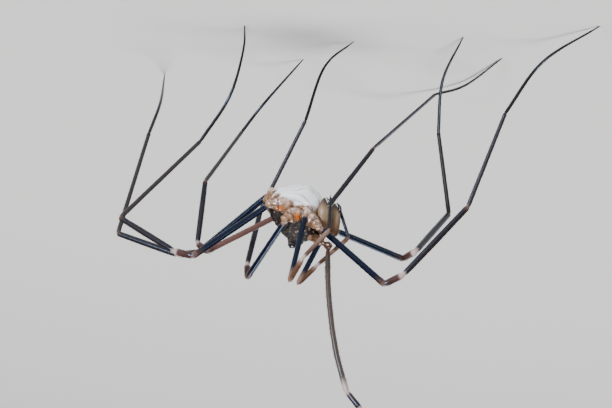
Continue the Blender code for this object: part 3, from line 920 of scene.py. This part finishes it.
normals = corners_of(body, "normal")
bend = cloud(skin_places * BEND_STRETCH, "bend")
lumps_share = cloud(skin_places, "lumps")
slanted = across_body + WRINKLE_SLANT * along
wave = np.abs(np.sin(math.pi * slanted / WRINKLE_SPACING + WRINKLE_BEND * bend))
least, more = WRINKLE_SHARE
depth_noise = cloud(skin_places, "wrinkle depth").clip(WRINKLE_LEAST_NOISE)
wrinkles = (1 - wave) ** 2 * (least + more * depth_noise)
rings = np.exp(-((np.cos(math.pi * along / RING_SPACING) / RING_WIDTH) ** 2))
rings = rings * ramp(-along, *RINGS_FADE_IN)
warts, _ = cobbles(skin_places, WART_SPACING)
knobs, cracks = cobbles(skin_places, COBBLE_SPACING)

# How far down its own coxa each vertex lies, and the groove before the knuckle
marks_down = np.zeros(len(skin_places))
grooves = np.zeros(len(skin_places))
closest = np.full(len(skin_places), np.inf)
for limb in limb_roots.values():
    root, hip = np.array(limb["root"]), np.array(limb["hip"])
    length = np.linalg.norm(hip - root)
    share = (skin_places - root) @ (hip - root) / length ** 2
    gap = np.linalg.norm(skin_places - root - share.clip(0, COXA_END)[:, None] * (hip - root), axis=1)
    groove = np.exp(-(((share - KNUCKLE_MARK) * length / KNUCKLE_GROOVE_WIDTH) ** 2))
    marks_down = np.where(gap < closest, share * length, marks_down)
    grooves = np.where(gap < closest, groove, grooves)
    closest = np.minimum(closest, gap)
bands = (1 - np.abs(np.sin(math.pi * marks_down / COXA_BANDS + BAND_BEND * bend))) ** 2
bands = bands * ramp(lumps_share, *BANDS_WHERE)
cracks = cracks * ramp(wander, *CRACKS_WHERE)
# Painted shade: the hips' bands, the cracks between their knobs and the grooves before the knuckles are
# darkened in colour as well as in shape.
hip_crease_shade = np.maximum(np.maximum(bands * BAND_SHADE_SHARE, cracks), grooves)
# The belly's wrinkles join them here, so its folds are darkened in colour too, as painted shade.
creases = belly_share * wrinkles + hip_share * hip_crease_shade

bumps = (
    LUMP_HEIGHT * lumps_share * (1 - back_share)
    - belly_share * (wrinkles * WRINKLE_DEPTH + rings * RING_DEPTH * RING_ON_BELLY)
    + back_share * (warts * WART_HEIGHT - rings * RING_DEPTH)
    + hip_share * (knobs * COBBLE_HEIGHT - COBBLE_HEIGHT / 2)
    - hip_share * (bands * COXA_BAND_DEPTH + grooves * KNUCKLE_DEPTH)
)
moved = skin_places + normals * bumps[:, None]
body.data.vertices.foreach_set("co", moved.astype(np.float32).ravel())
body.data.update()
print("deepest", round(float(bumps.min()), 3), "highest", round(float(bumps.max()), 3), "mm")

# %% Orange spots on the hips
SPOT_SIZE = 0.5
SPOT_CORE = 0.3
SPOT_SEEN = 0.5
DUSKY_ROUND_HIP = (0.6, 1.5)
PALE_BELOW = (0.0, 1.1)
PALE_WANDER = 0.6
SPOT_PLACES = [(-1.05, 2.35, -0.05), (0.45, 2.25, -0.1), (2.25, 1.3, 0.45)]
spots = np.zeros(len(skin_places))
for spot in SPOT_PLACES:
    for side in (1, -1):
        gap = np.linalg.norm(skin_places - np.array((spot[0], spot[1] * side, spot[2])), axis=1)
        spots = np.maximum(spots, 1 - ramp(gap, SPOT_SIZE * SPOT_CORE, SPOT_SIZE))
spots = spots * hip_share
dark_hip = np.linalg.norm(skin_places - np.array(LEGS["leg_2_left"]["hip"]), axis=1)
skin_numbers = {
    "belly": belly_share,
    "back": back_share,
    "pale": ramp(-rise + wander * PALE_WANDER, *PALE_BELOW),
    "hips": hip_share,
    "spots": spots,
    "creases": creases,
    "dusky": 1 - ramp(dark_hip, *DUSKY_ROUND_HIP),
}
for name, values in skin_numbers.items():
    give_number(body, name, values)
body.data.transform(BODY_FRAME)
finish(body)
print("spots cover", round(float((spots > SPOT_SEEN).mean()), 3), "of the skin")

# %% [markdown]
# ## Eyes
# A harvestman has only two eyes, set back to back on the mound so that it looks out to
# both sides. Each is a glossy black bead, half sunk in its socket. The bead is a ball a
# little longer than wide, laid with its length outward, as the real lens bulges.

# %% Eyes
EYE_TILT = 0.25
EYE_SHAPE = (0.9, 0.9, 0.95)

eyes = {}
for name, centre in EYE_PLACES.items():
    sideways = Vector((0.0, math.copysign(1.0, centre.y), EYE_TILT))
    bead = add_ball(centre, [EYE_RADIUS * share for share in EYE_SHAPE], sideways)
    bead.name = f"{name}_bead"
    bead.data.transform(BODY_FRAME)
    eyes[name] = finish(bead)
print("eyes:", ", ".join(eyes))

# %% [markdown]
# ## Jaws
# Each jaw hangs from the front of the head like a bent arm: a short base that reaches
# forward, and a swollen hand that hangs down and ends in a pincer. Base and hand are drawn
# as two tubes that melt together at the elbow, and the hand carries short bristles, set
# round it by a fixed turn so that they stand evenly. The pincer's moving finger is a
# separate black hook with a row of teeth.

# %% Jaw bases and hands
JAWS = {
    "chelicera_left": ((1.1, 0.5, 0.3), (2.42, 0.62, 0.3), (1.65, 0.62, -2.1)),
    "chelicera_right": ((1.3, -0.5, 0.15), (3.0, -0.6, 0.45), (2.3, -0.7, -1.75)),
}
BASE_MARKS = (0.0, 0.5, 0.85)
BASE_RADII = (0.48, 0.43, 0.45)
HAND_MARKS = (-0.22, -0.16, 0.0, 0.12, 0.3, 0.5, 0.66, 0.78, 0.9, 0.98, 1.0)
HAND_RADII = (0.14, 0.36, 0.5, 0.52, 0.56, 0.55, 0.49, 0.36, 0.22, 0.1, 0.03)
JAW_STEP = 0.04
JAW_MELT = 6
JAW_SIDES = 16
BRISTLES = 46
BRISTLES_BETWEEN = (0.05, 0.8)
BRISTLE_SUNK = 0.93
BRISTLE_LEAN = 0.9
BRISTLE_LENGTH = 0.17
BRISTLE_WIDTH = 0.016
GOLDEN_TURN = 2.39996

hands = {}
for name, (start, elbow, tip) in JAWS.items():
    start, elbow, tip = (Vector(point) for point in (start, elbow, tip))
    base_line = [start.lerp(elbow, mark) for mark in BASE_MARKS]
    hand_line = [elbow.lerp(tip, mark) for mark in HAND_MARKS]
    base = draw_tube(f"{name}_base", base_line, BASE_RADII, JAW_SIDES)
    hand = draw_tube(f"{name}_hand", hand_line, HAND_RADII, JAW_SIDES)
    jaw = join_all([base, hand], f"{name}_arm")
    melt_together(jaw, JAW_STEP, JAW_MELT)
    down = corners_of(jaw) - np.array(elbow)
    length = (tip - elbow).length
    axis = (tip - elbow) / length
    give_number(jaw, "down", down @ np.array(axis) / length)
    ahead = axis.orthogonal().normalized()
    shares = np.linspace(*BRISTLES_BETWEEN, BRISTLES)
    around = [Matrix.Rotation(turn * GOLDEN_TURN, 3, axis) @ ahead for turn in range(BRISTLES)]
    out = np.interp(shares, HAND_MARKS, HAND_RADII) * BRISTLE_SUNK
    places = zip(shares, around, out)
    roots = np.array([elbow + axis * share * length + away * far for share, away, far in places])
    leaning = np.array([tuple((away + axis * BRISTLE_LEAN).normalized()) for away in around])
    heights = np.full(BRISTLES, BRISTLE_LENGTH)
    widths = np.full(BRISTLES, BRISTLE_WIDTH)
    bristles = plant_spikes(f"{name}_bristles", roots, leaning, heights, widths)
    jaw = join_all([jaw, bristles], f"{name}_arm")
    jaw.data.transform(BODY_FRAME)
    hands[name] = finish(jaw)
    print(name, len(jaw.data.vertices), "corners")

# %% Fingers with teeth
FINGER_ROOT = 0.66
FINGER_RADII = (0.13, 0.16, 0.14, 0.11, 0.08, 0.02)
FINGER_BOW = (0.2, 0.42, 0.5, 0.46, 0.34, 0.16)
FINGER_END = 1.02
FINGER_STEP = 0.08
FINGER_SIDES = 12
TEETH = 7
TEETH_BETWEEN = (0.3, 0.92)
TOOTH_OUT = 0.8
TOOTH_LENGTH = 0.09
TOOTH_WIDTH = 0.04

fingers = {}
for name, (start, elbow, tip) in JAWS.items():
    elbow, tip = Vector(elbow), Vector(tip)
    down = (tip - elbow).normalized()
    ahead = Vector((1.0, 0.0, 0.0))
    ahead = (ahead - down * ahead.dot(down)).normalized()
    marks = np.linspace(FINGER_ROOT, FINGER_END, len(FINGER_RADII))
    bow = [elbow.lerp(tip, mark) + ahead * out for mark, out in zip(marks, FINGER_BOW)]
    path = smooth_path(bow, FINGER_STEP)
    even = np.linspace(0, 1, len(bow))
    radii = np.interp(np.linspace(0, 1, len(path)), even, FINGER_RADII)
    finger = draw_tube(f"{name}_claw", path, radii, FINGER_SIDES)
    shares = np.linspace(*TEETH_BETWEEN, TEETH)
    places = points_at(shares, even, np.array([tuple(point) for point in bow]))
    inward = -np.array(ahead)
    roots = places + inward * (np.interp(shares, even, FINGER_RADII) * TOOTH_OUT)[:, None]
    heights = np.full(TEETH, TOOTH_LENGTH)
    widths = np.full(TEETH, TOOTH_WIDTH)
    teeth = plant_spikes(f"{name}_teeth", roots, np.tile(inward, (TEETH, 1)), heights, widths)
    finger = join_all([finger, teeth], f"{name}_hook")
    finger.data.transform(BODY_FRAME)
    fingers[name] = finish(finger)
print("fingers:", ", ".join(fingers))

# %% [markdown]
# ## Finishes
# Hard parts of a harvestman are glossy like dark varnish and soft parts are matt like
# chalk. Both are finely grained, so the grain is built once as a node group with its own
# scale and used by every material. A second group scatters the pale specks of the back.
# Both read the object's own coordinates, turned into millimetres.

# %% Shared effects
GRAIN_DETAIL = 3.0
PIT_SHARE = 0.5
SPECK_DETAIL = 2.0
SPECK_UNEVENNESS = 1.6
SPECK_FULL_BELOW = 0.75


def new_group(name, inputs, outputs):
    """An empty node group with named number and vector sockets."""
    group = bpy.data.node_groups.new(name, "ShaderNodeTree")
    for socket, kind, value in inputs:
        made = group.interface.new_socket(socket, in_out="INPUT", socket_type=kind)
        if value is not None:
            made.default_value = value
    for socket, kind in outputs:
        group.interface.new_socket(socket, in_out="OUTPUT", socket_type=kind)
    return group, group.nodes.new("NodeGroupInput"), group.nodes.new("NodeGroupOutput")


def place_textures(group, group_in, textures):
    """Give textures the group's place in millimetres and its scale."""
    in_mm = group.nodes.new("ShaderNodeVectorMath")
    in_mm.operation = "SCALE"
    in_mm.inputs["Scale"].default_value = 1 / MM
    group.links.new(group_in.outputs["Place"], in_mm.inputs[0])
    for texture in textures:
        group.links.new(in_mm.outputs[0], texture.inputs["Vector"])
        group.links.new(group_in.outputs["Per mm"], texture.inputs["Scale"])


def sum_of(group, source, factor, added):
    """A number times a fixed factor, plus another number."""
    node = group.nodes.new("ShaderNodeMath")
    node.operation = "MULTIPLY_ADD"
    node.inputs[1].default_value = factor
    group.links.new(source, node.inputs[0])
    group.links.new(added, node.inputs[2])
    return node.outputs[0]


number, vector = "NodeSocketFloat", "NodeSocketVector"
grain, grain_in, grain_out = new_group(
    "cuticle_grain",
    [("Place", vector, None), ("Per mm", number, 8.0)],
    [("Height", number), ("Shade", number)],
)
fine = grain.nodes.new("ShaderNodeTexNoise")
fine.inputs["Detail"].default_value = GRAIN_DETAIL
pits = grain.nodes.new("ShaderNodeTexVoronoi")
place_textures(grain, grain_in, (fine, pits))
both = sum_of(grain, pits.outputs["Distance"], PIT_SHARE, fine.outputs["Fac"])
grain.links.new(both, grain_out.inputs["Height"])
grain.links.new(fine.outputs["Fac"], grain_out.inputs["Shade"])

specks, specks_in, specks_out = new_group(
    "pale_specks",
    [("Place", vector, None), ("Per mm", number, 5.0), ("Size", number, 1.0)],
    [("Mask", number)],
)
cells = specks.nodes.new("ShaderNodeTexVoronoi")
blur = specks.nodes.new("ShaderNodeTexNoise")
blur.inputs["Detail"].default_value = SPECK_DETAIL
place_textures(specks, specks_in, (cells, blur))
uneven = sum_of(specks, blur.outputs["Fac"], SPECK_UNEVENNESS, cells.outputs["Distance"])
mask = specks.nodes.new("ShaderNodeMapRange")
mask.inputs["From Min"].default_value = SPECK_FULL_BELOW
mask.inputs["To Min"].default_value = 1.0
mask.inputs["To Max"].default_value = 0.0
specks.links.new(uneven, mask.inputs["Value"])
specks.links.new(specks_in.outputs["Size"], mask.inputs["From Max"])
specks.links.new(mask.outputs["Result"], specks_out.inputs["Mask"])
print("groups:", grain.name, specks.name)

# %% Small helpers for materials
def add_group(tree, group, **values):
    """Place a group in a material, on Object coordinates, with its own values."""
    node = tree.nodes.new("ShaderNodeGroup")
    node.node_tree = group
    place = tree.nodes.new("ShaderNodeTexCoord")
    tree.links.new(place.outputs["Object"], node.inputs["Place"])
    for name, value in values.items():
        node.inputs[name.replace("_", " ")].default_value = value
    return node


def mix(tree, share, first, second):
    """Mix two colours, each a socket or plain numbers, by a share from a socket."""
    node = tree.nodes.new("ShaderNodeMix")
    node.data_type = "RGBA"
    tree.links.new(share, node.inputs["Factor"])
    colour_sockets = [socket for socket in node.inputs if socket.type == "RGBA"]
    for socket, value in zip(colour_sockets, (first, second)):
        if isinstance(value, tuple):
            socket.default_value = (*value, 1.0)
        else:
            tree.links.new(value, socket)
    return [socket for socket in node.outputs if socket.type == "RGBA"][0]


def read_number(tree, name):
    """The number stored at each vertex under this name."""
    node = tree.nodes.new("ShaderNodeAttribute")
    node.attribute_name = name
    return node.outputs["Fac"]


def spread_ramp(tree, source, stops):
    """A colour ramp with its stops of (place, colour)."""
    node = tree.nodes.new("ShaderNodeValToRGB")
    elements = node.color_ramp.elements
    elements[0].position, elements[0].color = stops[0][0], (*stops[0][1], 1.0)
    elements[1].position, elements[1].color = stops[-1][0], (*stops[-1][1], 1.0)
    for position, colour in stops[1:-1]:
        elements.new(position).color = (*colour, 1.0)
    tree.links.new(source, node.inputs["Fac"])
    return node.outputs["Color"]


def add_bump(tree, shader, height, depth_mm):
    """Raise the surface by a height, up to a depth."""
    node = tree.nodes.new("ShaderNodeBump")
    node.inputs["Distance"].default_value = depth_mm * MM
    tree.links.new(height, node.inputs["Height"])
    tree.links.new(node.outputs["Normal"], shader.inputs["Normal"])


def scaled(tree, source, factor):
    """A number times a fixed factor."""
    node = tree.nodes.new("ShaderNodeMath")
    node.operation = "MULTIPLY"
    node.inputs[1].default_value = factor
    tree.links.new(source, node.inputs[0])
    return node.outputs[0]


def paint(things, material):
    """Give a material to each of these."""
    for thing in things:
        thing.data.materials.append(material)


# %% [markdown]
# The skin of the body mixes its kinds by the shares stored at the vertices. The belly is
# chalk white with painted shade in its folds, the hips are whitish tan with orange spots
# between the knuckles and painted shade in their cracks, bands and grooves, and the back is
# nearly black with pale specks, its dark deepened by painted shade. The hips are hard and
# shine, so they alone have a thin coat of varnish, laid on by their share.

# %% Body finish
CHALK = (0.82, 0.82, 0.86)
# Painted shade in the belly's folds, mixed in by the crease share
CHALK_PAINTED_FOLD_SHADE = (0.3, 0.26, 0.34)
HIP_PALE = (0.58, 0.43, 0.36)
HIP_TAN = (0.24, 0.12, 0.06)
# Dark mottling of the band between the hips, and painted shade in the hips' cracks, bands and grooves
HIP_MOTTLE_AND_CREASE_SHADE = (0.06, 0.022, 0.01)
HIP_DUSKY = (0.07, 0.025, 0.016)
SPOT_ORANGE = (0.5, 0.12, 0.008)
# The back's own dark brown, made darker still as painted shade
BACK_DARK_WITH_SHADE = (0.003, 0.002, 0.002)
BACK_BROWN_WITH_SHADE = (0.016, 0.009, 0.006)
BACK_SPECK = (0.4, 0.27, 0.22)
SPECK_STRENGTH = 0.8
HIP_VARNISH = 0.8
VARNISH_ROUGHNESS = 0.16
SOFT_ROUGHNESS = 0.65
HIP_ROUGHNESS = 0.3
BODY_SPECULAR = 0.35
BODY_GRAIN_DEPTH = 0.025

body_material, tree, shader = plain_material("body_skin", CHALK, SOFT_ROUGHNESS)
grains = add_group(tree, grain, Per_mm=5.0)
back_specks = add_group(tree, specks, Per_mm=4.2, Size=1.08)
# The crease share: where the belly's folds and the hips' creases get painted shade
crease_shade_share = read_number(tree, "creases")
chalk = mix(tree, crease_shade_share, CHALK, CHALK_PAINTED_FOLD_SHADE)
tan = spread_ramp(tree, grains.outputs["Shade"], [(0.35, HIP_MOTTLE_AND_CREASE_SHADE), (0.6, HIP_TAN), (0.8, HIP_PALE)])
hips = mix(tree, read_number(tree, "pale"), HIP_TAN, HIP_PALE)
hips = mix(tree, read_number(tree, "spots"), hips, SPOT_ORANGE)
# The hips darkened in their creases: painted shade
hips = mix(tree, crease_shade_share, hips, HIP_MOTTLE_AND_CREASE_SHADE)
hips = mix(tree, read_number(tree, "dusky"), hips, HIP_DUSKY)
back = mix(tree, grains.outputs["Shade"], BACK_DARK_WITH_SHADE, BACK_BROWN_WITH_SHADE)
back = mix(tree, scaled(tree, back_specks.outputs["Mask"], SPECK_STRENGTH), back, BACK_SPECK)
colour = mix(tree, read_number(tree, "back"), tan, back)
colour = mix(tree, read_number(tree, "belly"), colour, chalk)
colour = mix(tree, read_number(tree, "hips"), colour, hips)
tree.links.new(colour, shader.inputs["Base Color"])
gloss = tree.nodes.new("ShaderNodeMapRange")
gloss.inputs["To Min"].default_value = SOFT_ROUGHNESS
gloss.inputs["To Max"].default_value = HIP_ROUGHNESS
tree.links.new(read_number(tree, "hips"), gloss.inputs["Value"])
tree.links.new(gloss.outputs["Result"], shader.inputs["Roughness"])
shader.inputs["Specular IOR Level"].default_value = BODY_SPECULAR
tree.links.new(scaled(tree, read_number(tree, "hips"), HIP_VARNISH), shader.inputs["Coat Weight"])
shader.inputs["Coat Roughness"].default_value = VARNISH_ROUGHNESS
add_bump(tree, shader, grains.outputs["Height"], BODY_GRAIN_DEPTH)
paint([body], body_material)
print("body finish on", body.name)

# %% [markdown]
# The legs take their colours down the limb from one ramp each, with a stop at every joint.
# The femora are blue-black and very glossy, the knees red-brown, the soft joint skin pale
# with a painted highlight laid on it, and the rest a brown that is nearly black. One leg has a
# pink femur, the raised one is brownish all the way down, and the palps are red-brown past the knee.

# %% Limb finishes
BLUE_BLACK = (0.002, 0.003, 0.012)
KNEE_RED = (0.05, 0.022, 0.013)
# Pale joint skin, made lighter as a painted highlight; the dull ring below is the same, fainter
JOINT_PALE_AND_HIGHLIGHT = (0.5, 0.38, 0.35)
JOINT_DULL_AND_HIGHLIGHT = (0.14, 0.09, 0.075)
TIBIA_DARK = (0.018, 0.013, 0.013)
SHIN_GREY = (0.034, 0.025, 0.022)
TARSUS_BLACK = (0.016, 0.012, 0.012)
HIP_RING = (0.4, 0.24, 0.17)
PINK_FEMUR = (0.12, 0.055, 0.042)
FEELER_PINK = (0.085, 0.056, 0.036)
FEELER_ROOT = (0.07, 0.018, 0.012)
PALP_RED = (0.1, 0.045, 0.022)
PALP_PINK = (0.24, 0.14, 0.1)
PATELLA_RED = (0.08, 0.035, 0.03)
FEELER_KNEE = (0.06, 0.03, 0.028)
GRAIN_DARK = (0.01, 0.008, 0.01)
GRAIN_SHARE = 0.35
THORN_SHARE = 0.8
LIMB_ROUGHNESS = 0.24
LIMB_SPECULAR = 0.33
LIMB_SHEEN_TINT = (0.4, 0.6, 1.0, 1.0)
LIMB_GRAIN_DEPTH = 0.004

# Each stop is a place down the limb, in stretches, and the colour there
LEG_STOPS = [
    (0.0, HIP_RING), (0.04, HIP_RING), (0.07, BLUE_BLACK), (0.85, BLUE_BLACK), (0.95, KNEE_RED),
    (0.99, JOINT_DULL_AND_HIGHLIGHT), (1.03, KNEE_RED), (1.3, KNEE_RED), (1.75, PATELLA_RED), (1.88, JOINT_PALE_AND_HIGHLIGHT),
    (2.0, JOINT_PALE_AND_HIGHLIGHT), (2.05, TIBIA_DARK), (2.93, TIBIA_DARK), (2.97, KNEE_RED), (3.0, JOINT_DULL_AND_HIGHLIGHT),
    (3.03, SHIN_GREY), (3.97, SHIN_GREY), (4.02, TARSUS_BLACK), (5.0, TARSUS_BLACK),
]
FEELER_STOPS = [
    (0.0, FEELER_ROOT), (0.05, FEELER_ROOT), (0.08, FEELER_PINK), (0.9, FEELER_PINK),
    (0.97, JOINT_PALE_AND_HIGHLIGHT), (1.05, JOINT_PALE_AND_HIGHLIGHT), (1.2, FEELER_KNEE), (1.85, TIBIA_DARK),
    (1.95, JOINT_PALE_AND_HIGHLIGHT), (2.03, TIBIA_DARK), (2.95, TIBIA_DARK), (3.0, JOINT_DULL_AND_HIGHLIGHT),
    (3.03, SHIN_GREY), (4.0, SHIN_GREY), (4.02, TARSUS_BLACK), (5.0, TARSUS_BLACK),
]
PALP_STOPS = [
    (0.0, HIP_RING), (0.05, HIP_RING), (0.1, BLUE_BLACK), (0.8, BLUE_BLACK), (0.93, PALP_PINK),
    (1.2, PALP_RED), (1.7, PALP_RED), (1.86, PALP_PINK), (1.94, JOINT_PALE_AND_HIGHLIGHT), (2.05, JOINT_PALE_AND_HIGHLIGHT),
    (2.12, PALP_RED), (2.7, PALP_PINK), (2.98, PALP_PINK), (3.05, TIBIA_DARK),
    (3.7, TARSUS_BLACK), (4.0, TARSUS_BLACK),
]
PINK_STOPS = [(place, PINK_FEMUR if tint == BLUE_BLACK else tint) for place, tint in LEG_STOPS]


def limb_material(name, stops, stretches):
    """Glossy cuticle, its colour laid down the limb by its reach."""
    material, tree, shader = plain_material(name, BLUE_BLACK, LIMB_ROUGHNESS)
    reach = scaled(tree, read_number(tree, "reach"), 1 / stretches)
    colour = spread_ramp(tree, reach, [(place / stretches, tint) for place, tint in stops])
    grains = add_group(tree, grain, Per_mm=14.0)
    darker = mix(tree, scaled(tree, grains.outputs["Shade"], GRAIN_SHARE), colour, GRAIN_DARK)
    colour = mix(tree, scaled(tree, read_number(tree, "thorn"), THORN_SHARE), darker, TARSUS_BLACK)
    tree.links.new(colour, shader.inputs["Base Color"])
    shader.inputs["Specular IOR Level"].default_value = LIMB_SPECULAR
    shader.inputs["Specular Tint"].default_value = LIMB_SHEEN_TINT
    add_bump(tree, shader, grains.outputs["Height"], LIMB_GRAIN_DEPTH)
    return material


leg_finish = limb_material("leg_cuticle", LEG_STOPS, len(LEG_SHAPE))
palp_finish = limb_material("palp_cuticle", PALP_STOPS, len(PALP_SHAPE))
own_finishes = {
    "leg_2_left": limb_material("feeler_cuticle", FEELER_STOPS, len(LEG_SHAPE)),
    "leg_3_right": limb_material("pink_leg_cuticle", PINK_STOPS, len(LEG_SHAPE)),
}
for name, limb in limbs.items():
    usual = leg_finish if name.startswith("leg") else palp_finish
    paint([limb], own_finishes.get(name, usual))
print("limb finishes on", len(limbs), "limbs")

# %% [markdown]
# The jaws are a smooth olive tan, red-brown at the elbow and black at the pincer, whose
# fingers are shiny. The eyes are the glossiest thing on the animal: nearly black, with a
# clear coat that catches the lamps.

# %% Jaw, finger and eye finishes
JAW_ELBOW = (0.08, 0.035, 0.018)
JAW_UPPER = (0.14, 0.08, 0.04)
JAW_OLIVE = (0.22, 0.165, 0.1)
JAW_LOWER = (0.15, 0.09, 0.05)
JAW_STOPS = [
    (0.0, JAW_ELBOW), (0.2, JAW_UPPER), (0.6, JAW_OLIVE), (0.76, JAW_LOWER),
    (0.86, TARSUS_BLACK), (1.0, TARSUS_BLACK),
]
JAW_GRAIN_SHARE = 0.3
JAW_ROUGHNESS = 0.4
JAW_GRAIN_DEPTH = 0.01
FINGER_ROUGHNESS = 0.25
FINGER_GRAIN_DEPTH = 0.005
FINGER_BROWN = (0.03, 0.02, 0.016)
EYE_BLACK = (0.003, 0.003, 0.004)
EYE_BROWN = (0.012, 0.01, 0.012)
EYE_ROUGHNESS = 0.08
EYE_COAT_ROUGHNESS = 0.03


def grained_material(name, roughness, first, second, per_mm):
    """A material whose colour wanders between two by the grain."""
    material, tree, shader = plain_material(name, first, roughness)
    grains = add_group(tree, grain, Per_mm=per_mm)
    colour = mix(tree, grains.outputs["Shade"], first, second)
    tree.links.new(colour, shader.inputs["Base Color"])
    return material, tree, shader, grains.outputs["Height"]


hand_material, tree, shader = plain_material("jaw_cuticle", HIP_TAN, JAW_ROUGHNESS)
grains = add_group(tree, grain, Per_mm=9.0)
tone = spread_ramp(tree, read_number(tree, "down"), JAW_STOPS)
tone = mix(tree, scaled(tree, grains.outputs["Shade"], JAW_GRAIN_SHARE), tone, HIP_TAN)
tree.links.new(tone, shader.inputs["Base Color"])
add_bump(tree, shader, grains.outputs["Height"], JAW_GRAIN_DEPTH)
paint(hands.values(), hand_material)

finger_material, tree, shader, height = grained_material(
    "finger_cuticle", FINGER_ROUGHNESS, TARSUS_BLACK, FINGER_BROWN, per_mm=12.0
)
add_bump(tree, shader, height, FINGER_GRAIN_DEPTH)
paint(fingers.values(), finger_material)

eye_material, _, shader, _ = grained_material(
    "eye_lens", EYE_ROUGHNESS, EYE_BLACK, EYE_BROWN, per_mm=3.0
)
shader.inputs["Coat Weight"].default_value = 1.0
shader.inputs["Coat Roughness"].default_value = EYE_COAT_ROUGHNESS
paint(eyes.values(), eye_material)
print("jaw, finger and eye finishes done")

# %% [markdown]
# ## Take the place of the solids
# Every piece rides on the one body of the model and says which solids it stands for, so
# that those are hidden.

# %% Ride and replace
LEG_NODES = ("femur", "patella", "tibia", "metatarsus", "tarsus")
PALP_NODES = ("femur", "patella", "tibia", "tarsus")

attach(body, "root")
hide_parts("cephalothorax", "abdomen", "eye_tubercle")
for name, limb in limbs.items():
    is_leg = name.startswith("leg")
    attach(limb, "root")
    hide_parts(*[f"{name}_{node}" for node in (LEG_NODES if is_leg else PALP_NODES)])
for name, bead in eyes.items():
    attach(bead, "root")
    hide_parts(name)
for name in JAWS:
    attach(hands[name], "root")
    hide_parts(f"{name}_base", f"{name}_hand")
    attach(fingers[name], "root")
    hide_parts(f"{name}_finger")
print("pieces:", 1 + len(limbs) + len(eyes) + 2 * len(JAWS))
